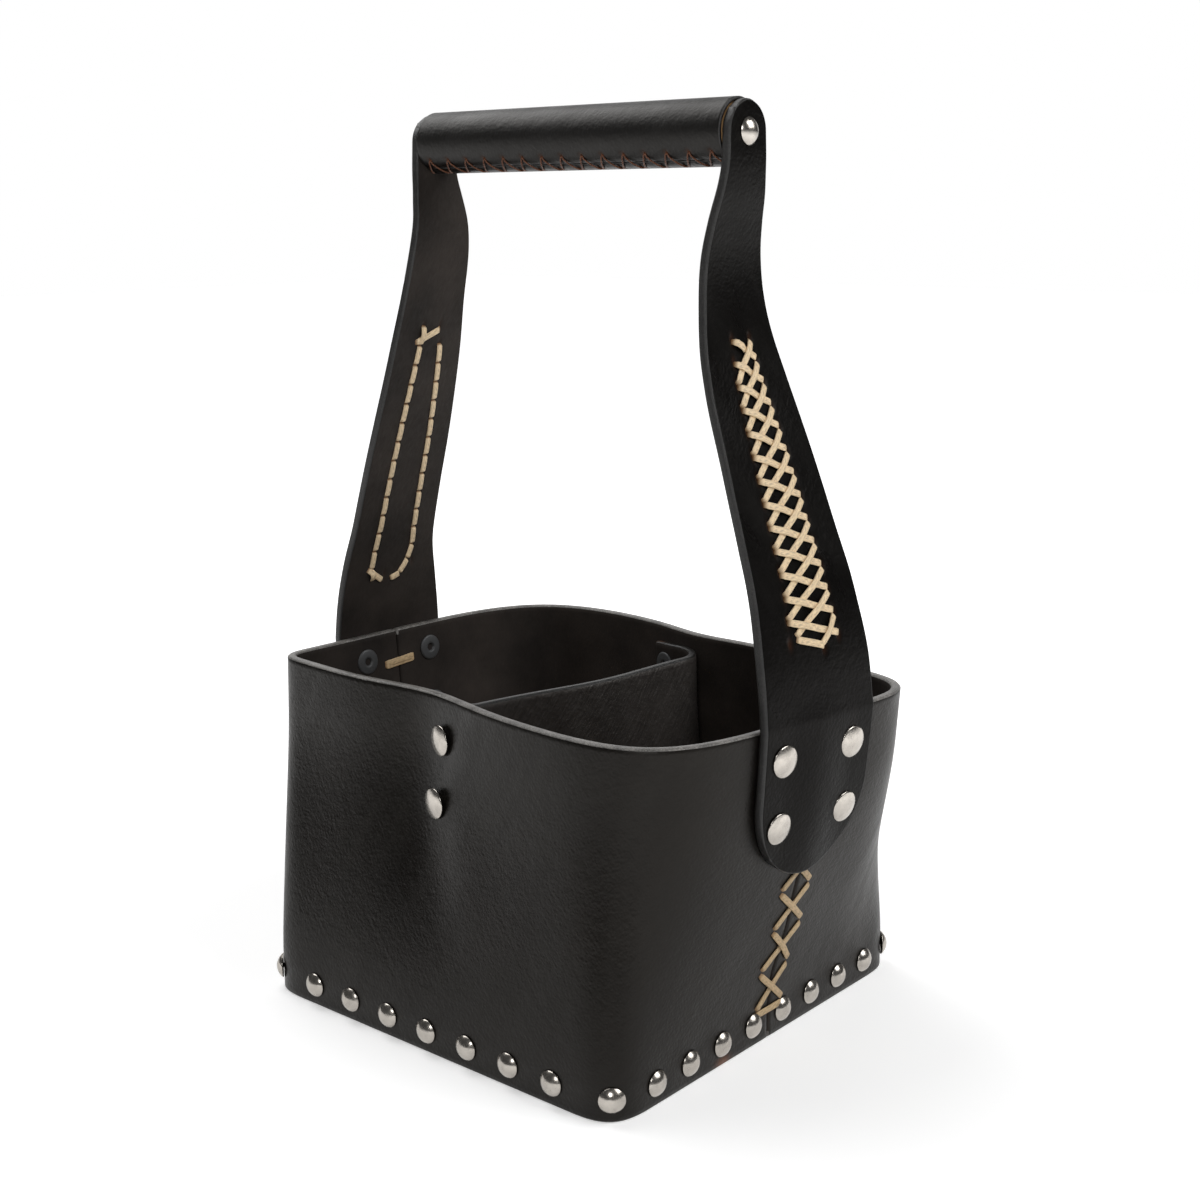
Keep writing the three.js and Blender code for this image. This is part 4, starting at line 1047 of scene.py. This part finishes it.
class DressWalls(bpy.types.Operator):
    """Model the two leather panels of the basket"""
    bl_idname = "mate_bag.dress_walls"
    bl_label = "Walls"

    def execute(self, context):
        bag = context.scene.mate_bag
        walls = WallShape(bag.basket)
        # The walls' cut edges take the rim colour, whose light grey is a painted highlight along the rim.
        materials = leather_set("wall", bag.finish, bag.finish.rim)
        heads = np.array([point for _, point, _ in tack_spots(bag)])
        lowest, highest = RIM_EDGE, bag.basket.rim - RIM_EDGE
        for half, _ in ENDS:
            outer, inner, places, raw = self.panel(bag, walls, half, heads)
            bm = sheet_mesh(outer, inner, places, bag.basket.edge, {"raw": (raw, raw)})
            for face in bm.faces:
                if face.material_index == CUT_EDGE and lowest < face.calc_center_median().z < highest:
                    face.material_index = FLESH_SIDE  # the seam edges are dyed like the inside
            dress(add_piece(f"{half}_wall", bm, materials), "basket", "wall_leather", f"{half}_panel")
        return {"FINISHED"}

    def panel(self, bag, walls, half, heads):
        """Grids of the outer and inner face, their map, and how raw the leather is."""
        edge = bag.basket.edge
        gap = FIT / 2 + edge
        size = (PANEL_ROWS + 1, PANEL_COLUMNS + 1)
        outer, inner, places = np.zeros((*size, 3)), np.zeros((*size, 3)), np.zeros((*size, 2))
        for row, z in enumerate(np.linspace(edge, bag.basket.rim - edge, PANEL_ROWS + 1)):
            lengths = run_lengths(walls.line(half, z))
            along = gap + lengths[::OUTLINE_STEPS // PANEL_COLUMNS] * (1 - 2 * gap / lengths[-1])
            for grid, depth in ((outer, 0.0), (inner, bag.basket.leather)):
                for axis, column in enumerate(walls.line(half, z, depth).T):
                    grid[row, :, axis] = np.interp(along, lengths, column)
                grid[row, :, 2] = z
            places[row, :, 0], places[row, :, 1] = along, z
        push = self.unevenness(walls, half, outer, inner, places, heads)
        nick = np.exp(-((np.linalg.norm(outer - np.array(NICK_PLACE), axis=-1) / NICK_SPREAD) ** 2))
        return outer + push, inner + push, places, nick * (outer[:, :, 2] < NICK_HEIGHT)

    def unevenness(self, walls, half, outer, inner, places, heads):
        """How far the leather is moved by its tacks, its waves and the right seam."""
        along, y, z = places[:, :, 0], outer[:, :, 1], outer[:, :, 2]
        ends = (along, along[:, ::-1])
        from_right = ends[0] if half == "front" else ends[1]
        shift = walls.seam_shift(1, z) * (1 - smooth_step(from_right, 0.0, SEAM_DRAG))
        swing = walls.side_x(1, y + shift, z) - walls.side_x(1, y, z)
        slide = np.stack([swing, shift, np.zeros_like(z)], axis=-1)
        depth, spread = TACK_DENT
        near = np.linalg.norm(outer[:, :, None, :] - heads, axis=-1)
        dents = depth * np.exp(-((near / spread) ** 2)).sum(axis=2)
        seam_clear = smooth_step(np.minimum(*ends), 0.0, WAVE_CLEARANCE)
        waves = WAVE_DEPTH * soft_waves(along, z) * smooth_step(z, *WAVE_RISE)
        return (dents + waves * seam_clear)[:, :, None] * unit(inner - outer) + slide


class DressDivider(bpy.types.Operator):
    """Model the leather wall across the inside"""
    bl_idname = "mate_bag.dress_divider"
    bl_label = "Divider"

    def execute(self, context):
        bag = context.scene.mate_bag
        walls = WallShape(bag.basket)
        edge = bag.divider.leather * DIVIDER_EDGE
        levels = np.linspace(bag.basket.board, bag.basket.rim, DIVIDER_ROWS)
        lines = np.array([self.middle_line(bag, walls, z) for z in levels])
        columns = lines.shape[1]
        lowest = bag.basket.board + FIT + edge
        highest = bag.basket.rim - edge - bag.divider.drop * np.linspace(DROP_START, 1, columns)
        share = np.linspace(0, 1, DIVIDER_ROWS + 1)[:, None]
        heights = mix(lowest, highest[None, :], share)
        middle = np.zeros((*heights.shape, 3))
        for column in range(columns):
            for axis in (0, 1):
                middle[:, column, axis] = np.interp(heights[:, column], levels, lines[:, column, axis])
        middle[:, :, 2] = heights
        ahead = unit(np.gradient(middle[:, :, :2], axis=1))
        right = np.stack([ahead[:, :, 1], -ahead[:, :, 0], np.zeros_like(heights)], axis=-1)
        along = run_lengths(middle[DIVIDER_ROWS // 2])
        places = np.stack([np.broadcast_to(along, heights.shape), heights], axis=-1)
        depth, spread = DIVIDER_BOW
        bow = np.exp(-(((along - along[-1] / 2) / spread) ** 2))[None, :]
        middle += (depth * (bow * smooth_step(share, BOW_START, 1.0)))[:, :, None] * right
        half = right * bag.divider.leather / 2
        strength, spread, above = RAW_CORNER
        raw = strength * np.exp(-(((along[-1] - along) / spread) ** 2))[None, :] * (share > above)
        bm = sheet_mesh(middle + half, middle - half, places, edge, {"raw": (raw, np.zeros_like(raw))})
        # The divider's lighter grain colour is a painted sheen.
        materials = leather_set("divider", bag.finish, bag.finish.edge)
        dress(add_piece("divider_wall", bm, materials), "basket", "wall_leather", "divider")
        return {"FINISHED"}

    def middle_line(self, bag, walls, z):
        """Middle of the divider at a height: flange, bend, run, bend and flange."""
        sizes = bag.divider
        seat = bag.basket.leather + sizes.seat + sizes.leather / 2

        def end(half, inward, radius, flange):
            start = DIVIDER_X[half] - radius
            out = np.linspace(start - flange, start, FLANGE_STEPS)
            turns = np.linspace(0, math.pi / 2, BEND_STEPS[half])[1:]
            wall = walls.end_y(half, start, z, seat)
            bend = np.stack([start + radius * np.sin(turns),
                             wall + inward * radius * (1 - np.cos(turns))], axis=1)
            return np.vstack([np.stack([out, walls.end_y(half, out, z, seat)], axis=1), bend])

        front = end("front", 1, sizes.front_bend, sizes.flange)
        rear = end("rear", -1, sizes.rear_bend, sizes.rear_flange)[::-1]
        run = mix(front[-1], rear[0], np.linspace(0, 1, RUN_STEPS)[1:-1, None])
        return np.vstack([front, run, rear])


class DressStraps(bpy.types.Operator):
    """Model the two strap arms"""
    bl_idname = "mate_bag.dress_straps"
    bl_label = "Straps"

    def execute(self, context):
        bag = context.scene.mate_bag
        walls = WallShape(bag.basket)
        materials = leather_set("strap", bag.finish, bag.finish.edge)
        edge = bag.basket.edge
        for name, side in SIDES:
            strap = StrapShape(walls, bag, side)
            places = strap.outline_grid(STRAP_COLUMNS, STRAP_ROWS, edge)
            y, z = places[:, :, 0], places[:, :, 1]
            outer, normals = strap.face(y, z, inside=False)
            inner, _ = strap.face(y, z, inside=True)
            close = self.near_slits(bag.lace, strap, y, z)
            dents = SLIT_DENT * close[:, :, None] * normals
            raw = close * SLIT_RAW
            marks = {"raw": (raw, raw * SLIT_RAW_INSIDE)}
            bm = sheet_mesh(outer - dents, inner + dents, places, edge, marks)
            dress_strap(add_piece(f"{name}_strap_arm", bm, materials), f"{name}_strap")
        return {"FINISHED"}

    def near_slits(self, lace, strap, y, z):
        """1 at a slit, falling to 0 round it."""
        slits = [strap_slit(strap, lace, column, row) for row in range(lace.rows) for column in (-1, 1)]
        close = np.zeros_like(y)
        for slit_y, slit_z in (*slits, last_slit(strap.side)):
            away = ((y - slit_y) / SLIT_HALF_WIDTH) ** 2 + ((z - slit_z) / SLIT_HALF_HEIGHT) ** 2
            close = np.maximum(close, np.exp(-away))
        return close


class DressStrapLaces(bpy.types.Operator):
    """Model the lace that is woven down each strap"""
    bl_idname = "mate_bag.dress_strap_laces"
    bl_label = "Strap laces"

    def execute(self, context):
        bag = context.scene.mate_bag
        walls = WallShape(bag.basket)
        material = lace_leather("Strap lace", tuple(bag.finish.lace), tuple(bag.finish.fold))
        for name, side in SIDES:
            bm = lace_mesh()
            self.weave(bm, bag.lace, StrapShape(walls, bag, side))
            dress_strap(add_lace(f"{name}_strap_lacing", bm, material), f"{name}_strap_lace")
        return {"FINISHED"}

    def weave(self, bm, lace, strap):
        """Crosses on the grain side and stitches inside, in mirror image on the two straps."""
        side, bottom = strap.side, lace.rows - 1
        lay = partial(self.strand, bm, lace, strap)
        stitch = partial(self.stitch, bm, lace, strap)

        def slit(column, row):
            y, z = strap_slit(strap, lace, column * side, row)
            if (column, row) != (-1, bottom):
                return y, z
            across, up = BOTTOM_SLIT_SHIFT
            return y + side * across, z + up

        def gentle(row):
            return slit(-1, row), slit(1, row + 1)

        def steep(row):
            return slit(1, row), slit(-1, row + 2)

        for row in range(bottom):
            strand = gentle(row)
            lay(strand, crossing_share(strand, steep(row - 1)), crossing_share(strand, steep(row)))
            stitch(slit(1, row + 1), slit(1, row), STITCH_OVER_TAIL if row == 0 else STITCH_OVER_LEATHER)
            if row + 1 < bottom:
                strand = steep(row)
                lay(strand, crossing_share(strand, gentle(row)), crossing_share(strand, gentle(row + 1)))
                stitch(slit(-1, row + 2), slit(-1, row + 1), STITCH_OVER_LEATHER)
        last_y, last_z = last_slit(side)
        across, up = LAST_STRAND_SHIFT
        strand = (slit(1, bottom - 1), (last_y - side * across, last_z + up))
        lay(strand, crossing_share(strand, gentle(bottom - 1)), None)
        lay((slit(-1, bottom), (last_y, last_z)), LAST_CROSSING, None)
        tails = (  # a slit, the two ends of a stitch across and up from it, and the height of the stitch
            (slit(1, 0), (0.0046, -0.0077), (-0.011, -0.0017), STITCH_LOW),
            (slit(1, bottom), (0.0022, 0.0), (-0.0075, -0.0062), STITCH_LOW),
            (slit(1, bottom), (-0.0014, -0.0058), (0.0, 0.0), STITCH_OVER_TAIL),
            (slit(-1, bottom), (0.005, -0.0062), (0.0, 0.0), STITCH_OVER_LEATHER),
            (slit(-1, bottom), (0.0105, -0.0082), (0.005, -0.0062), STITCH_OVER_LEATHER),
        )
        for (y, z), start, end, height in tails:
            stitch((y + side * start[0], z + start[1]), (y + side * end[0], z + end[1]), height)

    def strand(self, bm, lace, strap, ends, over, under):
        """One strand on the grain side, over one strand and under the next."""
        (y0, z0), (y1, z1) = ends
        length = math.hypot(y1 - y0, z1 - z0)
        dive, flat = STRAND_DIVE / length, STRAND_FLAT / length
        heights = [(0.0, LACE_SUNK), (dive, LACE_LOW), (over - flat, LACE_OVER), (over + flat, LACE_OVER)]
        if under is not None:
            heights += [(under - flat, LACE_LOW), (under + flat, LACE_LOW)]
        heights += [(1 - dive, LACE_LOW), (1.0, LACE_SUNK)]
        start, end = (y0, z0 - SLIT_SHIFT / 2), (y1, z1 + SLIT_SHIFT / 2)
        line = strand_line(partial(strap.face, inside=False), start, end, heights)
        lay_lace(bm, lace, line, dive, STRAND_NECK, STRAND_FOLD)

    def stitch(self, bm, lace, strap, start, end, height):
        """One stitch inside the strap, at a height over the leather in its middle."""
        left, level = STITCH_RISE
        heights = [(0.0, STITCH_SUNK), (left, STITCH_LOW), (level, height),
                   (1 - level, height), (1 - left, STITCH_LOW), (1.0, STITCH_SUNK)]
        start, end = (start[0], start[1] + STITCH_LAP), (end[0], end[1] - STITCH_LAP)
        line = strand_line(partial(strap.face, inside=True), start, end, heights, STITCH_STEPS)
        lay_lace(bm, lace, line, 1.0, STITCH_NECK, STITCH_FOLD)


class DressSeamLaces(bpy.types.Operator):
    """Model the lace that joins the panels at each seam"""
    bl_idname = "mate_bag.dress_seam_laces"
    bl_label = "Seam laces"

    def execute(self, context):
        bag = context.scene.mate_bag
        walls = WallShape(bag.basket)
        material = lace_leather("Seam lace", tuple(bag.finish.seam_lace), tuple(bag.finish.fold))
        for name, side in SIDES:
            bm = lace_mesh()
            outside, inside = partial(self.outer_face, walls, side), partial(self.inner_face, walls, side)
            first, pitch = SEAM_LEVELS[side]
            levels = [first + step * pitch for step in range(bag.lace.seam_levels)]
            strands = []
            for low, high in zip(levels, levels[1:]):
                bottom, top = low + SEAM_CROSS_LAP, high - SEAM_CROSS_LAP
                strands += [(outside, bottom, top, LACE_LOW), (outside, top, bottom, SEAM_OVER),
                            (inside, high - SLIT_SHIFT, high, LACE_LOW),
                            (inside, high, high + SLIT_SHIFT, SEAM_BAR)]
            foot = first - SLIT_SHIFT
            strands.append((outside, foot, foot, SEAM_FOOT))
            for face, front_z, rear_z, height in strands:
                self.strand(bm, bag.lace, face, front_z, rear_z, height)
            piece = add_lace(f"{name}_seam_lacing", bm, material)
            dress(piece, "basket", "seam_lace", f"{name}_seam_lace")
        return {"FINISHED"}

    def outer_face(self, walls, side, y, z):
        return walls.side_frames(side, y + walls.seam_shift(side, z), z)

    def inner_face(self, walls, side, y, z):
        points, normals = walls.side_frames(side, y + walls.seam_shift(side, z), z, walls.basket.leather)
        return points, -normals

    def strand(self, bm, lace, face, front_z, rear_z, height):
        """One strand from a front slit to a rear slit, at a height over the leather in its middle."""
        start, end = (-lace.seam_reach, front_z), (lace.seam_reach, rear_z)
        dive = SEAM_DIVE / math.hypot(end[0] - start[0], end[1] - start[1])
        low, high = SEAM_MIDDLE
        heights = [(0.0, LACE_SUNK), (dive, LACE_LOW), (low, height),
                   (high, height), (1 - dive, LACE_LOW), (1.0, LACE_SUNK)]
        lay_lace(bm, lace, strand_line(face, start, end, heights), dive, SEAM_NECK, SEAM_FOLD)


class DressTacks(bpy.types.Operator):
    """Model the domed tacks in the foot and the nails in the ends of the grip"""
    bl_idname = "mate_bag.dress_tacks"
    bl_label = "Tacks and nails"

    def execute(self, context):
        bag = context.scene.mate_bag
        for node, point, normal in tack_spots(bag):
            self.tack(bag, node, point, normal, TACK_LENGTH, "basket")
        reach = bag.grip.length / 2 + FIT + bag.strap.leather
        for name, side in SIDES:
            point = (side * reach, 0, bag.grip.height)
            self.tack(bag, f"{name}_grip_nail", point, (side, 0, 0), NAIL_LENGTH, "handle")
        return {"FINISHED"}

    def tack(self, bag, node, point, normal, length, body):
        """A domed head on a pointed shank."""
        sizes = bag.fastener
        head = dome_profile(sizes.tack_head / 2, sizes.tack_rise - TACK_LIP, TACK_LIP, HEAD_LIFT)
        shank = [(SHANK_RADIUS, HEAD_LIFT), (SHANK_RADIUS, SHANK_POINT - length), (0.0, -length)]
        bm = turned_mesh(head + shank, TACK_STEPS)
        place_on(bm, point, normal)
        dress(add_piece(f"{node}_domed", bm, [nickel(bag.finish)]), body, "nickel", node)


class DressRivets(bpy.types.Operator):
    """Model the rivets through the straps and through the ends of the divider"""
    bl_idname = "mate_bag.dress_rivets"
    bl_label = "Rivets"

    def execute(self, context):
        bag = context.scene.mate_bag
        walls = WallShape(bag.basket)
        ring = plated_metal("Dark rivet back", tuple(bag.finish.rivet_back), roughness=0.45, bare=0.3)
        rivet = partial(self.rivet, bag.fastener, [nickel(bag.finish), ring])
        panel, outside = bag.basket.leather, FIT + bag.strap.leather
        for name, side in SIDES:
            for height, z in STRAP_RIVETS.items():
                for end, sign in ENDS:
                    y = sign * STRAP_RIVET_REACH
                    points, normals = walls.side_frames(side, np.array([y]), np.array([z]))
                    rivet(f"{name}_strap_rivet_{end}_{height}", points[0], normals[0], -panel, outside)
        stack = panel + bag.divider.seat + bag.divider.leather
        for half, bend in (("front", bag.divider.front_bend), ("rear", bag.divider.rear_bend)):
            for height, z in DIVIDER_RIVETS.items():
                point, normal = walls.end_frame(half, DIVIDER_X[half] - bend - DIVIDER_RIVET_INSET, z)
                rivet(f"divider_rivet_{half}_{height}", point, normal, -stack, DIVIDER_CAP_SEAT)
        return {"FINISHED"}

    def rivet(self, sizes, materials, node, point, normal, low, high):
        """A domed cap outside, a post, and a ring with a hollow middle inside."""
        cap = dome_profile(sizes.rivet_cap / 2, sizes.rivet_rise - RIVET_LIP, RIVET_LIP, high + HEAD_LIFT)
        ring, base = sizes.rivet_back / 2, low - HEAD_LIFT
        back = [(RIVET_POST, high), (RIVET_POST, base)]
        back += [(ring + out, base + up) for out, up in RING_EDGE]
        back += [(radius, base + up) for radius, up in RING_HOLLOW]
        bm = turned_mesh(cap + back, RIVET_STEPS)
        for face in bm.faces:
            face.material_index = int(face.calc_center_median().z < (low + high) / 2)
        place_on(bm, point, normal)
        dress(add_piece(f"{node}_set", bm, materials), "basket", "nickel", node)


class DressGrip(bpy.types.Operator):
    """Model the leather wrap of the grip and its stitching"""
    bl_idname = "mate_bag.dress_grip"
    bl_label = "Grip"

    def execute(self, context):
        bag = context.scene.mate_bag
        sizes = bag.grip
        holes = np.linspace(-HOLE_REACH, HOLE_REACH, HOLE_COUNT)
        x = np.linspace(GRIP_EDGE - sizes.length / 2, sizes.length / 2 - GRIP_EDGE, GRIP_POINTS_ALONG)
        turns = np.linspace(GRIP_SEAM + GRIP_GAP, GRIP_SEAM + 2 * math.pi - GRIP_GAP, GRIP_POINTS_ROUND)
        dent = np.zeros((len(x), len(turns)))
        for angle, shift in ((UPPER_HOLES, 0.0), (LOWER_HOLES, 0.5)):
            across = (np.mod(turns - angle + math.pi, 2 * math.pi) - math.pi) * sizes.outer
            for hole in holes + shift * (holes[1] - holes[0]):
                away = (across[None, :] / HOLE_SIZE) ** 2 + ((x[:, None] - hole) / HOLE_SIZE) ** 2
                dent = np.maximum(dent, np.exp(-away))
        from_seam = np.minimum(turns - turns[0], turns[-1] - turns)
        depth, spread = GRIP_TUCK
        tuck = depth * np.exp(-((from_seam / spread) ** 2))[None, :]
        radius = sizes.outer - HOLE_DENT * dent - tuck
        outer = self.round_points(sizes, x, turns, radius)
        inner = self.round_points(sizes, x, turns, np.full_like(radius, sizes.inner))
        places = np.stack(np.broadcast_arrays(turns[None, :] * sizes.outer, x[:, None]), axis=-1)
        raw = HOLE_RAW * dent
        bm = sheet_mesh(outer, inner, places, GRIP_EDGE, {"raw": (raw, np.zeros_like(raw))})
        materials = leather_set("grip", bag.finish, bag.finish.edge)
        dress(add_piece("grip_leather_wrap", bm, materials), "grip", "grip_leather", "grip_wrap")
        self.stitching(bag, holes)
        return {"FINISHED"}

    def round_points(self, sizes, x, turns, radius):
        """Points round the grip, at turns below the front horizontal."""
        y, z = -np.cos(turns)[None, :] * radius, sizes.height - np.sin(turns)[None, :] * radius
        return np.stack([np.broadcast_to(x[:, None], y.shape), y, z], axis=-1)

    def stitching(self, bag, holes):
        """Zigzag thread over the seam."""
        sizes = bag.grip
        bm = lace_mesh()
        step = holes[1] - holes[0]
        share = np.linspace(0, 1, THREAD_STEPS)
        lift = np.interp(share, *zip(*THREAD_LIFT))
        turns = mix(UPPER_HOLES, LOWER_HOLES, share)
        outward = np.stack([np.zeros_like(turns), -np.cos(turns), -np.sin(turns)], axis=1)
        widths, folds = np.full(THREAD_STEPS, sizes.thread), np.zeros(THREAD_STEPS)
        for hole in holes:
            for shift in (-0.5, 0.5):
                along = mix(hole, hole + shift * step, share)
                middle = np.stack([along, np.zeros_like(along), np.full_like(along, sizes.height)], axis=1)
                points = middle + outward * (sizes.outer + lift)[:, None]
                lay_strand(bm, points, outward, widths, sizes.thread, folds, THREAD_SQUARENESS,
                           THREAD_SIDES)
        thread = twisted_thread("Grip thread", tuple(bag.finish.thread))
        dress(add_lace("grip_stitching", bm, thread), "grip", "grip_leather")


class FinishWood(bpy.types.Operator):
    """Give the base board and the rod of the grip their wood"""
    bl_idname = "mate_bag.finish_wood"
    bl_label = "Board and rod"

    def execute(self, context):
        wood = plain_wood("Sawn wood", tuple(context.scene.mate_bag.finish.wood))
        for node in ("base_board", "grip_dowel"):
            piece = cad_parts[node]
            piece.data.materials.clear()
            piece.data.materials.append(wood)
        return {"FINISHED"}


class SetStage(bpy.types.Operator):
    """Set the floor, the studio light and the camera"""
    bl_idname = "mate_bag.set_stage"
    bl_label = "Stage"

    def execute(self, context):
        scene = context.scene
        scene.view_settings.view_transform = "Standard"
        self.floor()
        self.surroundings(scene)
        for softbox in SOFTBOXES:
            self.softbox(scene, *softbox)
        self.camera(scene)
        return {"FINISHED"}

    def background_rays(self, tree):
        """1 for the rays that show the background: camera, glossy and transmission."""
        rays = add_node(tree, "ShaderNodeLightPath").outputs
        shown = larger(tree, rays["Is Camera Ray"], rays["Is Glossy Ray"])
        return larger(tree, shown, rays["Is Transmission Ray"])

    def floor(self):
        """A pale floor that keeps its shadow, and glows to white away from the bag."""
        bm = bmesh.new()
        bmesh.ops.create_grid(bm, x_segments=1, y_segments=1, size=FLOOR_SIZE)
        material, tree, shader = new_material("Studio floor")
        set_sockets(tree, shader, {"Base Color": FLOOR_COLOUR, "Roughness": FLOOR_ROUGHNESS})
        place = add_node(tree, "ShaderNodeTexCoord").outputs["Object"]
        away = add_node(tree, "ShaderNodeVectorMath", {0: place}, operation="LENGTH").outputs["Value"]
        level = add_node(tree, "ShaderNodeMapRange", {"Value": away, **FLOOR_GLOW}).outputs[0]
        lift = add_node(tree, "ShaderNodeMath", {0: self.background_rays(tree), 1: level},
                        operation="MULTIPLY").outputs[0]
        glow = add_node(tree, "ShaderNodeEmission", {"Color": WHITE, "Strength": lift}).outputs[0]
        both = add_node(tree, "ShaderNodeAddShader", {0: shader.outputs[0], 1: glow}).outputs[0]
        set_sockets(tree, tree.nodes["Material Output"], {"Surface": both})
        floor = add_piece("studio_floor", bm, [material])

    def surroundings(self, scene):
        """A white backdrop and a dark room round the bag. The camera sees only white."""
        scene.world = bpy.data.worlds.new("Studio")
        scene.world.use_nodes = True
        tree = scene.world.node_tree
        ahead = (-math.sin(CAMERA_TURN), math.cos(CAMERA_TURN), 0.0)
        place = add_node(tree, "ShaderNodeTexCoord").outputs["Generated"]
        behind = add_node(tree, "ShaderNodeVectorMath", {0: place, 1: ahead}, operation="DOT_PRODUCT")
        room = ramp(tree, behind.outputs["Value"], ROOM_STOPS)
        camera_ray = add_node(tree, "ShaderNodeLightPath").outputs["Is Camera Ray"]
        level = add_node(tree, "ShaderNodeMapRange", {"Value": self.background_rays(tree), **ROOM_LIGHT})
        set_sockets(tree, tree.nodes["Background"],
                    {"Color": larger(tree, room, camera_ray), "Strength": level.outputs[0]})

    def softbox(self, scene, name, place, target, size, power):
        """A square lamp at a place, turned to a target."""
        lamp = bpy.data.lights.new(name, "AREA")
        lamp.size = size
        lamp.energy = power
        softbox = bpy.data.objects.new(name, lamp)
        softbox.location = place
        softbox.rotation_euler = (Vector(target) - Vector(place)).to_track_quat("-Z", "Y").to_euler()
        scene.collection.objects.link(softbox)

    def camera(self, scene):
        turn, dip, roll = CAMERA_TURN, CAMERA_DIP, CAMERA_ROLL
        back = Vector((math.sin(turn) * math.cos(dip), -math.cos(turn) * math.cos(dip), math.sin(dip)))
        right = Vector((math.cos(turn), math.sin(turn), 0))
        up = back.cross(right)
        level = Matrix((right, up, back)).transposed().to_4x4()
        lens = bpy.data.cameras.new("Photo camera")
        lens.lens = CAMERA_LENS
        lens.sensor_width = CAMERA_SENSOR
        lens.clip_start = CAMERA_CLIP
        camera = bpy.data.objects.new("Photo camera", lens)
        camera.matrix_world = Matrix.Translation(CAMERA_PLACE) @ level @ Matrix.Rotation(roll, 4, "Z")
        scene.collection.objects.link(camera)
        scene.camera = camera


OPERATORS = (DressWalls, DressDivider, DressStraps, DressStrapLaces, DressSeamLaces, DressTacks,
             DressRivets, DressGrip, FinishWood, SetStage)
GROUPS = (BasketSizes, DividerSizes, StrapSizes, LaceSizes, FastenerSizes, GripSizes, Finishes, MateBag)


class MateBagPanel(bpy.types.Panel):
    """Lists the sizes, the finishes and the pieces of the bag"""
    bl_idname = "VIEW3D_PT_mate_bag"
    bl_label = "Mate Bag"
    bl_space_type = "VIEW_3D"
    bl_region_type = "UI"
    bl_category = "Mate Bag"

    def draw(self, context):
        bag = context.scene.mate_bag
        for name in ("basket", "divider", "strap", "lace", "fastener", "grip", "finish"):
            box = self.layout.box()
            box.label(text=name.capitalize())
            group = getattr(bag, name)
            for field in group.__annotations__:
                box.prop(group, field)
        for operator in OPERATORS:
            self.layout.operator(operator.bl_idname)


def register():
    for item in (*GROUPS, *OPERATORS, MateBagPanel):
        bpy.utils.register_class(item)
    bpy.types.Scene.mate_bag = PointerProperty(type=MateBag)


def unregister():
    del bpy.types.Scene.mate_bag
    for item in reversed((*GROUPS, *OPERATORS, MateBagPanel)):
        bpy.utils.unregister_class(item)


def main():
    register()
    bpy.ops.mate_bag.dress_walls()
    bpy.ops.mate_bag.dress_divider()
    bpy.ops.mate_bag.dress_straps()
    bpy.ops.mate_bag.dress_strap_laces()
    bpy.ops.mate_bag.dress_seam_laces()
    bpy.ops.mate_bag.dress_tacks()
    bpy.ops.mate_bag.dress_rivets()
    bpy.ops.mate_bag.dress_grip()
    bpy.ops.mate_bag.finish_wood()
    bpy.ops.mate_bag.set_stage()


if __name__ == "__main__":
    main()
